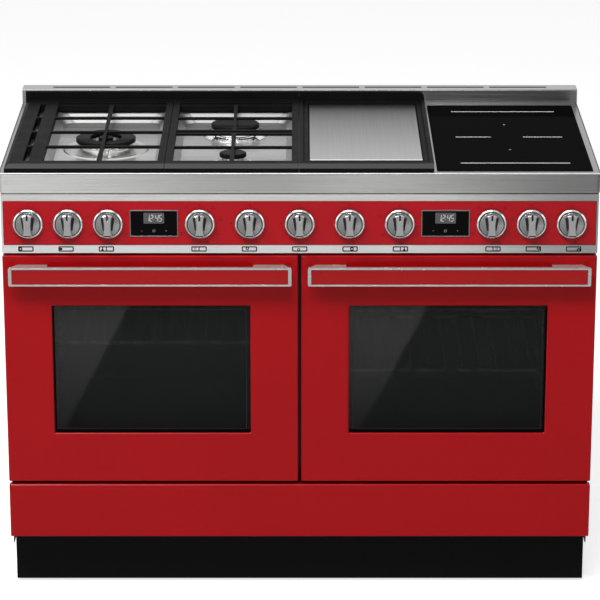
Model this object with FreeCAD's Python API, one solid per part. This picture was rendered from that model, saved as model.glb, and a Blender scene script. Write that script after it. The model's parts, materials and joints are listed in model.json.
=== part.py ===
import FreeCAD, Part
import math
import os

# A dual fuel range cooker, 1200 mm wide: two ovens side by side over a full width drawer, and on top
# three gas burners, a griddle and an induction plate. X runs to the right, Y to the wall and Z up.
# The origin is on the floor, under the middle of the box that holds the whole cooker.

# The whole cooker
width = 1200.0
body_depth = 600.0
side_reveal = 2.0
face_setback = 2.0
sheet = 2.0
cut_overrun = 5.0
seat_gap = 0.3
running_fit = 0.05

# The front, from the floor up
plinth_floor_gap = 6.0
plinth_height = 118.0
drawer_gap = 1.5
drawer_front_height = 115.5
door_drawer_gap = 7.0
fascia_door_gap = 5.3
fascia_height = 123.0
worktop_fascia_gap = 3.0
worktop_edge_height = 41.0
upstand_rise = 32.0
upstand_depth = 40.0

# Doors
door_gap = 6.0
door_thickness = 38.0
door_skin = 20.0
door_corner = 3.0
window_side_margin = 97.0
window_height = 274.0
window_above_foot = 106.0
window_corner = 2.5
window_bevel = 2.0
glass_thickness = 4.0
glass_lap = 9.0
glass_setback = 3.0
glass_corner = 8.0
inner_frame_side = 42.0
inner_frame_foot = 26.0
inner_frame_head = 14.0
inner_glass_lap = 12.0
seal_space = 10.0
seal_width = 9.0
seal_offset = 8.0

# Door handles
handle_side_margin = 13.5
handle_height = 38.0
handle_projection = 28.0
handle_bar = 9.0
handle_below_head = 17.7
handle_corner = 3.0
handle_rim = 3.4
handle_end_rim = 6.5
handle_pocket = 3.0
handle_insert_crown = 1.0
standoff_length = 74.0
standoff_height = 36.0
standoff_taper = 13.0

# Door hinges
hinge_above_foot = 26.0
hinge_behind_face = 18.0
hinge_plate = 6.0
hinge_plate_half_height = 8.0
hinge_pin_radius = 4.0
hinge_slot_clearance = 1.0
hinge_knuckle = 12.0
hinge_from_door_side = 70.0
hinge_foot_height = 22.0
hinge_foot_width = 24.0
hinge_foot_thickness = 3.0

# Carcass
panel_inset = 3.0
back_inset = 20.0
base_drop = 2.0
base_thickness = 3.0
channel_width = 60.0
channel_height = 26.0
channel_from_side = 60.0
foot_pad_radius = 22.0
foot_pad_height = 9.0
foot_stem_radius = 7.0
foot_from_end = 45.0
plinth_setback = 50.0
plinth_thickness = 3.0
plinth_side_inset = 8.0
panel_foot_drop = 26.0
vent_slot_length = 90.0
vent_slot_height = 6.0
vent_slot_pitch_x = 120.0
vent_slot_pitch_z = 16.0
vent_slots_below_top = 60.0
vent_columns = 8
vent_rows = 2
terminal_box_width = 120.0
terminal_box_height = 76.0
terminal_box_depth = 16.0
terminal_box_corner = 6.0
terminal_box_from_side = 150.0
terminal_box_above_base = 60.0
gland_radius = 7.0
gland_nut_radius = 9.5
gland_nut_length = 8.0
gland_length = 22.0
gland_grommet_radius = 4.5

# Ovens
cavity_side_margin = 75.0
cavity_height = 350.0
cavity_back_space = 116.0
cavity_above_door_foot = 62.0
cavity_below_door_head = 73.7
cavity_corner = 18.0
liner_wall = 2.0
liner_flange = 22.0
fan_radius = 72.0
fan_hub_radius = 14.0
fan_depth = 24.0
fan_disc = 2.0
fan_blade = 2.0
fan_blade_count = 10
fan_shaft_radius = 4.0
fan_wall_gap = 5.0
fan_bearing_radius = 26.0
fan_bearing_length = 34.0
fan_cover_width = 300.0
fan_cover_height = 236.0
fan_cover_depth = 42.0
fan_cover_corner = 30.0
fan_cover_slot_width = 6.0
fan_cover_slot_inner = 18.0
fan_cover_slot_outer = 58.0
fan_cover_slot_count = 16
ring_element_radius = 92.0
ring_element_height = 9.0
ring_element_width = 6.0
grill_element_radius = 4.0
grill_element_drop = 16.0
grill_element_side = 60.0
grill_element_front = 60.0
grill_element_bend = 40.0
grill_bracket_width = 12.0
ladder_rod = 5.0
ladder_levels = 5
ladder_foot = 35.0
ladder_head = 75.0
ladder_end = 40.0
ladder_wall_gap = 0.3
ladder_reach = 16.0
ladder_slot = 14.0
left_shelf_levels = 3
right_shelf_levels = 2
shelf_side_gap = 3.0
shelf_front_gap = 12.0
shelf_back_gap = 1.0
shelf_rail = 6.0
shelf_wire_radius = 2.0
shelf_wire_count = 11
shelf_stop_height = 14.0

# Drawer
drawer_front_thickness = 20.0
drawer_front_corner = 3.0
drawer_grip_depth = 6.0
drawer_grip_height = 8.0
drawer_back_space = 156.0
drawer_box_height = 84.0
drawer_box_lift = 6.0
drawer_wall = 1.5
runner_width = 13.0
runner_height = 36.0
runner_lip = 3.0
runner_clearance = 0.4
runner_foot_width = 30.0

# Fascia
fascia_sheet = 1.5
insert_thickness = 2.0
insert_height = 91.4
insert_above_foot = 17.3
insert_side_margin = 4.0
insert_corner = 1.5
knob_above_foot = 63.0
display_width = 93.0
display_height = 51.5
display_frame = 1.9
display_frame_proud = 1.6
display_glass_drop = 0.6
display_depth = 26.0
display_share = 0.24333

# Knob places across the fascia, from the middle, as shares of the width
knob_outer_share = 0.45333
knob_second_share = 0.38667
knob_third_share = 0.32
knob_fourth_share = 0.16667
knob_fifth_share = 0.08333

# Knobs
knob_radius = 30.2
knob_skirt_top_radius = 27.0
knob_skirt_lip = 1.5
knob_skirt_height = 8.5
knob_groove_radius = 23.0
knob_disc_radius = 23.8
knob_disc_height = 11.5
knob_height = 27.0
knob_grip_waist = 14.0
knob_grip_end = 20.0
knob_grip_edge = 1.5
knob_mark_width = 3.6
knob_mark_length = 12.0
knob_mark_depth = 2.0
knob_stand = 3.6
knob_hollow_radius = 20.0
knob_hollow_depth = 5.0
spindle_radius = 4.0
spindle_length = 15.0
sleeve_radius = 7.0
sleeve_length = 16.0
sleeve_flange_radius = 10.0
sleeve_flange = 2.0
tap_push = 3.0
bush_wall = 3.0
bush_length = 12.0
insert_hole_clearance = 2.0

# Gas rail
rail_section = 14.0
rail_end_margin = 26.0
tap_radius = 12.0
inlet_pipe_radius = 8.0
inlet_thread_radius = 10.48
inlet_thread_length = 13.0
inlet_collar_radius = 15.0
inlet_collar_length = 5.0
inlet_wall = 2.5
pipe_clearance = 1.0

# Hob, from left to right, and from the front edge back
rim_left = 10.0
support_left_share = 0.26583
support_gap = 1.0
support_centre_share = 0.22333
griddle_share = 0.22458
griddle_glass_gap = 6.0
rim_right = 13.5
module_front = 8.0
module_back_space = 56.0
glass_panel_front = 17.0
glass_panel_back_space = 58.0
glass_panel_corner = 4.0
glass_panel_proud = 1.2
hob_sheet = 2.0
hob_corner = 10.0
well_depth = 22.0
well_slope = 20.0
well_sheet = 1.5
well_corner = 24.0
well_lap = 8.0
well_ring_gap = 18.0
well_ring_width = 9.0
well_ring_height = 2.0
module_casing_height = 46.0
module_casing_inset = 14.0
module_casing_flange = 8.0
module_casing_flange_height = 3.0

# Pan supports
support_height = 16.0
support_bevel_depth = 8.5
support_bevel_height = 8.0
support_front_member = 30.6
support_rear_member = 51.0
support_side_member = 14.0
support_wing = 73.4
support_back_wall = 12.0
support_back_rise = 18.0
support_pocket_wall = 5.0
support_pocket_roof = 6.0
support_bar_top = 8.0
support_bar_foot = 9.0
support_bar_height = 5.0
support_bar_pitch = 116.0
support_double_bar = 24.0
support_finger_root = 10.0
support_finger_tip = 5.5
support_rear_ledge = 15.0
support_rear_bar = 7.5
support_rear_groove = 6.5
support_rear_step = 4.0
support_slot_width = 12.0
support_slot_from_side = 35.0
support_slot_bridge = 10.0

# Griddle
griddle_side_member = 19.0
griddle_front_member = 45.0
griddle_rear_member = 32.0
griddle_ledge = 8.0
griddle_ledge_height = 4.0
griddle_plate_thickness = 7.0
griddle_plate_clearance = 0.8
griddle_plate_edge = 2.0
griddle_step_side = 10.0
griddle_step_front = 16.0
griddle_step_depth = 3.0
griddle_shoulder = 16.0
griddle_well_depth = 40.0
griddle_element_radius = 4.0
griddle_element_inset = 45.0
griddle_element_bend = 30.0

# Burners
wok_place_share = 0.5893
wok_depth_share = 0.44667
wok_radius = 62.0
wok_opening_radius = 31.5
wok_inner_radius = 15.0
rapid_depth_share = 0.6367
rapid_radius = 50.5
auxiliary_depth_share = 0.2467
auxiliary_radius = 27.5
burner_skirt = 19.0
burner_skirt_edge = 1.5
burner_skirt_height = 10.0
burner_cup_depth = 30.0
burner_flange_overlap = 12.0
burner_flange_height = 3.0
burner_ring_height = 15.0
burner_ring_step = 3.5
burner_port_width = 2.4
burner_port_depth = 6.0
burner_port_height = 5.0
burner_cap_height = 8.0
burner_cap_edge = 2.0
burner_cup_share = 0.62
nut_flat_share = 0.8661
burner_cup_clearance = 0.5
wok_port_count = 24
rapid_port_count = 20
auxiliary_port_count = 12
inner_port_count = 8
flare_steps = 5

# Upstand
upstand_sheet = 2.0
upstand_slot_count = 8
upstand_slot_length = 123.0
upstand_slot_gap = 12.0
upstand_slot_width = 9.0
upstand_edge = 2.0

# Places worked out from the sizes above
drawer_z = plinth_height + drawer_gap
door_z = drawer_z + drawer_front_height + door_drawer_gap
door_height = cavity_above_door_foot + cavity_height + cavity_below_door_head
fascia_z = door_z + door_height + fascia_door_gap
edge_z = fascia_z + fascia_height + worktop_fascia_gap
hob_z = edge_z + worktop_edge_height
top_z = hob_z + upstand_rise
under_hob_z = hob_z - hob_sheet

handle_proud = handle_projection - face_setback
front_edge_y = handle_proud - (body_depth + handle_proud) / 2
back_y = front_edge_y + body_depth
face_y = front_edge_y + face_setback
door_back_y = face_y + door_thickness
carcass_y = door_back_y + seal_space
frame_back_y = carcass_y + sheet
back_panel_y = back_y - back_inset - sheet

panel_x = width / 2 - panel_inset
inside_x = panel_x - sheet
door_width = (width - door_gap) / 2 - side_reveal
window_width = door_width - 2 * window_side_margin
handle_length = door_width - 2 * handle_side_margin
cavity_width = door_width - 2 * cavity_side_margin
oven_x = (door_gap + door_width) / 2
base_top_z = plinth_height - base_drop
base_z = base_top_z - base_thickness
base_y = front_edge_y + plinth_setback + plinth_thickness
frame_foot_z = drawer_z + drawer_front_height + base_drop
frame_head_z = edge_z

cavity_z = door_z + cavity_above_door_foot
cavity_top_z = cavity_z + cavity_height
liner_back_y = back_panel_y - cavity_back_space
fan_z = cavity_z + cavity_height / 2

hinge_y = face_y + hinge_behind_face
hinge_z = door_z + hinge_above_foot
knob_z = fascia_z + knob_above_foot
knob_outer_place = width * knob_outer_share
knob_second_place = width * knob_second_share
knob_third_place = width * knob_third_share
knob_fourth_place = width * knob_fourth_share
knob_fifth_place = width * knob_fifth_share
display_place = width * display_share
fascia_y = face_y + insert_thickness
fascia_back_y = fascia_y + fascia_sheet

support_left_width = width * support_left_share
support_centre_width = width * support_centre_share
griddle_width = width * griddle_share
support_left_x = rim_left - width / 2
support_centre_x = support_left_x + support_left_width + support_gap
griddle_x = support_centre_x + support_centre_width + support_gap
glass_panel_x = griddle_x + griddle_width + griddle_glass_gap
glass_panel_width = width / 2 - rim_right - glass_panel_x
glass_panel_depth = body_depth - glass_panel_front - glass_panel_back_space
module_y = front_edge_y + module_front
module_back_y = back_y - module_back_space
wok_place_x = support_left_x + support_left_width * wok_place_share
wok_depth = body_depth * wok_depth_share
rapid_depth = body_depth * rapid_depth_share
auxiliary_depth = body_depth * auxiliary_depth_share
centre_burners_x = support_centre_x + support_centre_width / 2
support_top_z = hob_z + support_height
well_floor_z = hob_z - well_depth
griddle_well_floor_z = hob_z - griddle_well_depth
burner_head_z = well_floor_z + burner_flange_height + burner_ring_height

V = FreeCAD.Vector
TO_RIGHT = V(1, 0, 0)
TO_BACK = V(0, 1, 0)
TO_FRONT = V(0, -1, 0)
UP = V(0, 0, 1)


# Basic shapes

def block(x0, x1, y0, y1, z0, z1):
    return Part.makeBox(x1 - x0, y1 - y0, z1 - z0, V(x0, y0, z0))


def rod(radius, start, direction, length):
    return Part.makeCylinder(radius, length, start, direction)


def prism(corners, way):
    """A closed polygon of corners, pushed along a vector."""
    wire = Part.makePolygon(list(corners) + [corners[0]])
    return Part.Face(wire).extrude(way)


def rounded_outline(x0, x1, z0, z1, radius, y):
    """The outline of an upright rectangle with round corners, facing the front."""
    half = radius * (1 - math.sqrt(0.5))
    edges = []
    points = [
        (V(x0 + radius, y, z0), V(x1 - radius, y, z0), V(x1 - half, y, z0 + half)),
        (V(x1, y, z0 + radius), V(x1, y, z1 - radius), V(x1 - half, y, z1 - half)),
        (V(x1 - radius, y, z1), V(x0 + radius, y, z1), V(x0 + half, y, z1 - half)),
        (V(x0, y, z1 - radius), V(x0, y, z0 + radius), V(x0 + half, y, z0 + half)),
    ]
    for here, following in zip(points, points[1:] + points[:1]):
        edges.append(Part.makeLine(here[0], here[1]))
        edges.append(Part.Arc(here[1], here[2], following[0]).toShape())
    return Part.Wire(edges)


def rounded_panel(x0, x1, y0, y1, z0, z1, radius):
    outline = rounded_outline(x0, x1, z0, z1, radius, y0)
    return Part.Face(outline).extrude(V(0, y1 - y0, 0))


def bevelled_panel(x0, x1, y0, y1, z0, z1, radius, bevel):
    """A round cornered panel whose front edge is bevelled all round."""
    front = rounded_outline(x0 + bevel, x1 - bevel, z0 + bevel, z1 - bevel, radius, y0)
    behind = rounded_outline(x0, x1, z0, z1, radius, y0 + bevel)
    edge = Part.makeLoft([front, behind], True, True)
    return edge.fuse(rounded_panel(x0, x1, y0 + bevel, y1, z0, z1, radius)).removeSplitter()


def flat_outline(x0, x1, y0, y1, z, radius):
    """The outline of a level rectangle with round corners."""
    upright = rounded_outline(x0, x1, y0, y1, radius, 0)
    upright.rotate(V(0, 0, 0), TO_RIGHT, -90)
    upright.translate(V(0, 0, z))
    return upright


def turned(profile, centre, direction):
    """A profile of (radius, distance along the axis) pairs, turned about the axis."""
    corners = [V(radius, 0, along) for radius, along in profile]
    wire = Part.makePolygon(corners + [corners[0]])
    solid = Part.Face(wire).revolve(V(0, 0, 0), UP, 360)
    solid.Placement = FreeCAD.Placement(centre, FreeCAD.Rotation(UP, direction))
    return solid


def bent_tube(corners, radius, bend):
    """A round rod along straight runs that meet at right angles, with a round bend at each corner."""
    parts = []
    start = corners[0]
    for here, corner, following in zip(corners, corners[1:], corners[2:]):
        arrive = (corner - here).normalize()
        leave = (following - corner).normalize()
        first = corner - arrive * bend
        parts.append(rod(radius, start, arrive, (first - start).Length))
        section = Part.Face(Part.Wire(Part.makeCircle(radius, first, arrive)))
        parts.append(section.revolve(first + leave * bend, arrive.cross(leave), 90))
        start = corner + leave * bend
    parts.append(rod(radius, start, corners[-1] - start, (corners[-1] - start).Length))
    return joined(parts)


def joined(solids):
    first = solids[0]
    return first.multiFuse(solids[1:]).removeSplitter() if len(solids) > 1 else first


def without(solid, cutters):
    return solid.cut(Part.makeCompound(cutters)) if cutters else solid


def group(solids):
    """Separate solids that share one node."""
    return Part.makeCompound([part for shape in solids for part in shape.Solids])


def save(name, shape):
    solids = shape.Solids
    kept = solids[0] if len(solids) == 1 else Part.makeCompound(solids)
    kept.exportStep(f"parts/{name}.step")


def mirrored_pair(shape):
    return [shape, shape.mirror(V(0, 0, 0), TO_RIGHT)]


# Carcass

def base_channels():
    """The places of the two channels under the base, left edge and right edge of each."""
    left = channel_from_side - inside_x
    return [(left, left + channel_width), (-left - channel_width, -left)]


def base_frame():
    plate = block(-inside_x, inside_x, base_y, back_panel_y, base_z, base_top_z)
    channels = []
    for x0, x1 in base_channels():
        outer = block(x0, x1, base_y, back_panel_y, base_z - channel_height, base_z)
        hollow = block(x0 + base_thickness, x1 - base_thickness, base_y - cut_overrun,
                       back_panel_y + cut_overrun, base_z - channel_height - cut_overrun,
                       base_z - base_thickness)
        channels.append(outer.cut(hollow))
    return group([plate] + channels)


def levelling_feet():
    height = base_z - base_thickness
    profile = [
        (0, 0),
        (foot_pad_radius, 0),
        (foot_stem_radius, foot_pad_height),
        (foot_stem_radius, height),
        (0, height),
    ]
    feet = []
    for x0, x1 in base_channels():
        for y in (base_y + foot_from_end, back_panel_y - foot_from_end):
            feet.append(turned(profile, V((x0 + x1) / 2, y, 0), UP))
    return group(feet)


def terminal_box():
    """The cover over the mains terminals on the back, with a gland closed by its grommet under it."""
    x = inside_x - terminal_box_from_side
    y = back_panel_y + sheet
    foot = base_z + terminal_box_above_base
    cover = rounded_panel(x - terminal_box_width / 2, x + terminal_box_width / 2, y, y + terminal_box_depth,
                          foot, foot + terminal_box_height, terminal_box_corner)
    gland_y = y + gland_nut_radius * nut_flat_share
    nut_end = foot - gland_nut_length
    corners = []
    for index in range(6):
        angle = math.pi / 3 * index
        corners.append(V(x + gland_nut_radius * math.cos(angle), gland_y + gland_nut_radius * math.sin(angle),
                         nut_end))
    nut = prism(corners, V(0, 0, gland_nut_length))
    profile = [
        (0, 0),
        (gland_radius, 0),
        (gland_radius, gland_length - gland_nut_length / 2),
        (gland_grommet_radius, gland_length),
        (0, gland_length),
    ]
    return joined([cover, nut, turned(profile, V(x, gland_y, foot), V(0, 0, -1))])


def outer_panels():
    foot_z = base_z - panel_foot_drop
    side = block(inside_x, panel_x, carcass_y, back_panel_y + sheet, foot_z, under_hob_z)
    back = block(-inside_x, inside_x, back_panel_y, back_panel_y + sheet, base_z, under_hob_z)
    cutters = []
    first_x = -vent_slot_pitch_x * (vent_columns - 1) / 2
    for column in range(vent_columns):
        x = first_x + column * vent_slot_pitch_x
        for row in range(vent_rows):
            z = under_hob_z - vent_slots_below_top - row * vent_slot_pitch_z
            cutters.append(block(x - vent_slot_length / 2, x + vent_slot_length / 2,
                                 back_panel_y - cut_overrun, back_y,
                                 z - vent_slot_height / 2, z + vent_slot_height / 2))
    cutters.append(rod(inlet_pipe_radius + pipe_clearance, V(inlet_x(), back_panel_y - cut_overrun, knob_z),
                       TO_BACK, sheet + 2 * cut_overrun))
    return group(mirrored_pair(side) + [without(back, cutters), terminal_box()])


def plinth():
    x = width / 2 - plinth_side_inset
    front_y = front_edge_y + plinth_setback
    side_y = front_y + plinth_thickness
    front = block(-x, x, front_y, side_y, plinth_floor_gap, plinth_height - base_drop)
    side = block(x - plinth_thickness, x, side_y, back_panel_y, plinth_floor_gap, base_z)
    return group([front] + mirrored_pair(side))


def front_frame():
    """Posts and rails of folded sheet round the two oven mouths."""
    cavity_left = oven_x - cavity_width / 2
    cavity_right = oven_x + cavity_width / 2
    side_post = block(cavity_right, inside_x, carcass_y, frame_back_y, frame_foot_z, frame_head_z)
    centre_post = block(-cavity_left, cavity_left, carcass_y, frame_back_y, frame_foot_z, frame_head_z)
    foot_rail = block(cavity_left, cavity_right, carcass_y, frame_back_y, frame_foot_z, cavity_z)
    head_rail = block(cavity_left, cavity_right, carcass_y, frame_back_y, cavity_top_z, frame_head_z)
    pipe_hole = rod(inlet_pipe_radius + pipe_clearance, V(inlet_x(), carcass_y - cut_overrun, knob_z),
                    TO_BACK, sheet + 2 * cut_overrun)
    left_post = side_post.mirror(V(0, 0, 0), TO_RIGHT).cut(pipe_hole)
    rails = mirrored_pair(foot_rail) + mirrored_pair(head_rail)
    return group([left_post, side_post, centre_post] + rails)


# Hob

def rounded_front(solid, radius):
    """The solid with its two upright front edges rounded."""
    box = solid.BoundBox
    edges = []
    for edge in solid.Edges:
        upright = edge.BoundBox.ZLength > box.ZLength / 2
        if upright and edge.BoundBox.YMax < box.Center.y:
            edges.append(edge)
    return solid.makeFillet(radius, edges)


def tapered_well(x0, x1, y0, y1, depth, corner):
    """The solid space of a pressed well with sloping walls, from the worktop's face down."""
    mouth = flat_outline(x0, x1, y0, y1, hob_z, corner)
    floor = flat_outline(x0 + well_slope, x1 - well_slope, y0 + well_slope, y1 - well_slope,
                         hob_z - depth, corner)
    return Part.makeLoft([floor, mouth], True, True)


def wells():
    """Each pressed well: its mouth's corners, depth and the holes in its floor."""
    mouth_y = module_y + support_front_member - well_lap
    mouth_back_y = module_back_y - support_rear_member + well_lap
    left_x = support_left_x + support_wing - well_lap
    left_end = support_left_x + support_left_width - support_side_member + well_lap
    centre_x = support_centre_x + support_side_member - well_lap
    centre_end = support_centre_x + support_centre_width - support_side_member + well_lap
    griddle_left = griddle_x + griddle_side_member
    griddle_end = griddle_x + griddle_width - griddle_side_member
    griddle_y = module_y + griddle_front_member
    griddle_back = module_back_y - griddle_rear_member
    return [
        (left_x, left_end, mouth_y, mouth_back_y, well_depth),
        (centre_x, centre_end, mouth_y, mouth_back_y, well_depth),
        (griddle_left, griddle_end, griddle_y, griddle_back, griddle_well_depth),
    ]


def burners():
    """Each burner: name, place, head radius and number of flame ports."""
    return [
        ("wok", wok_place_x, front_edge_y + wok_depth, wok_radius, wok_port_count),
        ("rapid", centre_burners_x, front_edge_y + rapid_depth, rapid_radius, rapid_port_count),
        ("auxiliary", centre_burners_x, front_edge_y + auxiliary_depth, auxiliary_radius,
         auxiliary_port_count),
    ]


def pressed_ring(x, y, radius):
    """A low ring pressed up round a burner, with sloping sides."""
    slope = well_ring_width / 3
    section = [
        (radius, -well_sheet / 2),
        (radius + well_ring_width, -well_sheet / 2),
        (radius + well_ring_width, 0),
        (radius + well_ring_width - slope, well_ring_height),
        (radius + slope, well_ring_height),
        (radius, 0),
    ]
    return turned(section, V(x, y, well_floor_z), UP)


def worktop():
    """The pressed steel top: a sheet with turned down edges, three wells and the induction cut-out."""
    outer = block(-width / 2, width / 2, front_edge_y, back_y, edge_z, hob_z)
    hollow = block(hob_sheet - width / 2, width / 2 - hob_sheet, front_edge_y + hob_sheet,
                   back_y - hob_sheet, edge_z - cut_overrun, under_hob_z)
    tray = rounded_front(outer, hob_corner).cut(rounded_front(hollow, hob_corner - hob_sheet))
    skins = []
    spaces = []
    for x0, x1, y0, y1, depth in wells():
        space = tapered_well(x0, x1, y0, y1, depth, well_corner)
        skin = tapered_well(x0 - well_sheet, x1 + well_sheet, y0 - well_sheet, y1 + well_sheet,
                            depth + well_sheet, well_corner)
        skins.append(skin)
        spaces.append(space)
    pressed = joined([tray] + skins).cut(Part.makeCompound(spaces))
    _, wok_x, wok_y, wok_edge, _ = burners()[0]
    pressed = joined([pressed, pressed_ring(wok_x, wok_y, wok_edge + well_ring_gap)])
    holes = []
    for _, x, y, radius, _ in burners():
        holes.append(rod(radius * burner_cup_share + burner_cup_clearance,
                         V(x, y, well_floor_z - well_sheet - cut_overrun), UP, well_depth))
    glass_y = front_edge_y + glass_panel_front
    holes.append(block(glass_panel_x, glass_panel_x + glass_panel_width, glass_y,
                       glass_y + glass_panel_depth, under_hob_z - cut_overrun, hob_z + cut_overrun))
    return without(pressed, holes).removeSplitter()


def upstand():
    """The vent box along the wall, with slots in its top."""
    y0 = back_y - upstand_depth
    slope = [
        V(-width / 2, y0, hob_z),
        V(-width / 2, y0, top_z - upstand_edge),
        V(-width / 2, y0 + upstand_edge, top_z),
        V(-width / 2, back_y, top_z),
        V(-width / 2, back_y, hob_z),
    ]
    outer = prism(slope, V(width, 0, 0))
    hollow = block(upstand_sheet - width / 2, width / 2 - upstand_sheet, y0 + upstand_sheet,
                   back_y - upstand_sheet, hob_z - cut_overrun, top_z - upstand_sheet)
    pitch = upstand_slot_length + upstand_slot_gap
    first_x = -(upstand_slot_count * pitch - upstand_slot_gap) / 2
    middle_y = back_y - upstand_depth / 2
    slots = []
    for index in range(upstand_slot_count):
        x = first_x + index * pitch
        slots.append(block(x, x + upstand_slot_length, middle_y - upstand_slot_width / 2,
                           middle_y + upstand_slot_width / 2, hob_z, top_z + cut_overrun))
    return without(outer, [hollow] + slots)


def induction_glass():
    """The glass plate, a little proud of the steel round it."""
    y0 = front_edge_y + glass_panel_front
    top = hob_z + glass_panel_proud
    outline = flat_outline(glass_panel_x + running_fit, glass_panel_x + glass_panel_width - running_fit,
                           y0 + running_fit, y0 + glass_panel_depth - running_fit,
                           under_hob_z, glass_panel_corner)
    return Part.Face(outline).extrude(V(0, 0, top - under_hob_z))


def induction_module():
    """The sealed casing of coils and electronics under the glass."""
    x0 = glass_panel_x - module_casing_flange
    x1 = glass_panel_x + glass_panel_width
    y0 = front_edge_y + glass_panel_front - module_casing_flange
    y1 = front_edge_y + glass_panel_front + glass_panel_depth + module_casing_flange
    flange = block(x0, x1, y0, y1, under_hob_z - module_casing_flange_height, under_hob_z)
    inset = module_casing_inset
    casing = block(x0 + inset, x1 - inset, frame_back_y + inset, y1 - inset,
                   under_hob_z - module_casing_height, under_hob_z - module_casing_flange_height)
    return joined([flange, casing])


def support_bar_depths(centre):
    """Middle lines of a pan support's cross bars, as Y places."""
    if centre:
        middle = front_edge_y + (rapid_depth + auxiliary_depth) / 2
        return [
            front_edge_y + auxiliary_depth,
            middle - support_double_bar / 2,
            middle + support_double_bar / 2,
            front_edge_y + rapid_depth,
        ]
    middle = front_edge_y + wok_depth
    return [middle - support_bar_pitch, middle, middle + support_bar_pitch]


def cross_bar(x0, x1, y):
    """A cast bar from side to side, narrower at its top."""
    foot = support_top_z - support_bar_height
    section = [
        V(x0, y - support_bar_foot / 2, foot),
        V(x0, y + support_bar_foot / 2, foot),
        V(x0, y + support_bar_top / 2, support_top_z),
        V(x0, y - support_bar_top / 2, support_top_z),
    ]
    return prism(section, V(x1 - x0, 0, 0))


def finger(x, root_y, tip_y):
    """A cast bar from front to back, from its wide root to the burner's middle."""
    foot = support_top_z - support_bar_height
    corners = [
        V(x - support_finger_root / 2, root_y, foot),
        V(x + support_finger_root / 2, root_y, foot),
        V(x + support_finger_tip / 2, tip_y, foot),
        V(x - support_finger_tip / 2, tip_y, foot),
    ]
    return prism(corners, V(0, 0, support_bar_height))


def cast_slab(x0, x1, bevel_left):
    """The outer block of a cast module: bevelled in front, with a wall along its back."""
    wall_y = module_back_y - support_back_wall
    wall_z = support_top_z + support_back_rise
    section = [
        V(x0, module_y, hob_z),
        V(x0, module_y, support_top_z - support_bevel_height),
        V(x0, module_y + support_bevel_depth, support_top_z),
        V(x0, wall_y, support_top_z),
        V(x0, wall_y, wall_z),
        V(x0, module_back_y, wall_z),
        V(x0, module_back_y, hob_z),
    ]
    slab = prism(section, V(x1 - x0, 0, 0))
    if bevel_left:
        corner = [
            V(x0, module_y - cut_overrun, support_top_z - support_bevel_height),
            V(x0 + support_bevel_depth, module_y - cut_overrun, support_top_z),
            V(x0, module_y - cut_overrun, support_top_z),
        ]
        slab = slab.cut(prism(corner, V(0, wall_y - module_y + cut_overrun, 0)))
    return slab


def pocket(x0, x1, y0, y1):
    """The hollow cast into the underside of a wide member."""
    wall = support_pocket_wall
    return block(x0 + wall, x1 - wall, y0 + wall, y1 - wall,
                 hob_z - cut_overrun, support_top_z - support_pocket_roof - support_bevel_height / 2)


def pan_support(x0, x1, wing, bar_x, bar_depths):
    """A cast frame with its cross bars, and with fingers from front and back over each burner."""
    opening_x = x0 + wing
    opening_end = x1 - support_side_member
    opening_y = module_y + support_front_member
    opening_back = module_back_y - support_rear_member
    wide_wing = wing > support_side_member
    middle = len(bar_depths) // 2
    fingers = [(opening_y, bar_depths[middle]), (opening_back, bar_depths[middle])]
    if not wide_wing:
        front, front_middle, rear_middle, rear = bar_depths
        fingers = [(front_middle, front), (opening_y, front), (rear_middle, rear), (opening_back, rear)]
    slab = cast_slab(x0, x1, wide_wing)
    cutters = [
        block(opening_x, opening_end, opening_y, opening_back, hob_z - cut_overrun, top_z + cut_overrun),
        pocket(x0, x1, module_y, opening_y),
        pocket(x0, x1, opening_back, module_back_y),
    ]
    if wide_wing:
        slot_x = x0 + support_slot_from_side
        stops = [opening_y - support_slot_bridge / 2] + bar_depths + [opening_back + support_slot_bridge / 2]
        for here, following in zip(stops, stops[1:]):
            cutters.append(block(slot_x, slot_x + support_slot_width, here + support_slot_bridge / 2,
                                 following - support_slot_bridge / 2, hob_z - cut_overrun, top_z))
        cutters.append(pocket(slot_x + support_slot_width, opening_x, opening_y, opening_back))
    ledge_back = opening_back + support_rear_ledge
    groove_y = ledge_back + support_rear_bar
    foot = support_top_z - support_rear_step
    cutters.append(block(opening_x, opening_end, opening_back, ledge_back, foot, top_z))
    cutters.append(block(opening_x, opening_end, groove_y, groove_y + support_rear_groove, foot, top_z))
    frame = without(slab, cutters)
    bars = [cross_bar(opening_x, opening_end, y) for y in bar_depths]
    for root_y, tip_y in fingers:
        bars.append(finger(bar_x, root_y, tip_y))
    return joined([frame] + bars)


def griddle_frame():
    x0 = griddle_x
    x1 = griddle_x + griddle_width
    slab = cast_slab(x0, x1, False)
    plate_x0 = x0 + griddle_side_member
    plate_x1 = x1 - griddle_side_member
    plate_y0 = module_y + griddle_front_member
    plate_y1 = module_back_y - griddle_rear_member
    ledge_z = hob_z + griddle_ledge_height
    above = top_z + cut_overrun
    through = block(plate_x0 + griddle_ledge, plate_x1 - griddle_ledge, plate_y0 + griddle_ledge,
                    plate_y1 - griddle_ledge, hob_z - cut_overrun, above)
    seat = block(plate_x0, plate_x1, plate_y0, plate_y1, ledge_z, above)
    step = block(x0 + griddle_step_side, x1 - griddle_step_side, plate_y0 - griddle_step_front,
                 module_back_y - support_back_wall, support_top_z - griddle_step_depth, above)
    wall_top = support_top_z + support_back_rise
    shoulder_z = wall_top - griddle_shoulder
    shoulder_x = x1 - griddle_shoulder
    behind = V(0, support_back_wall + 2 * cut_overrun, 0)
    wall_y = module_back_y - support_back_wall - cut_overrun
    square = block(shoulder_x, x1 + cut_overrun, wall_y, wall_y + behind.y, shoulder_z, above)
    round_part = rod(griddle_shoulder, V(shoulder_x, wall_y, shoulder_z), TO_BACK, behind.y)
    return without(slab, [through, seat, step, square.cut(round_part)])


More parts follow.
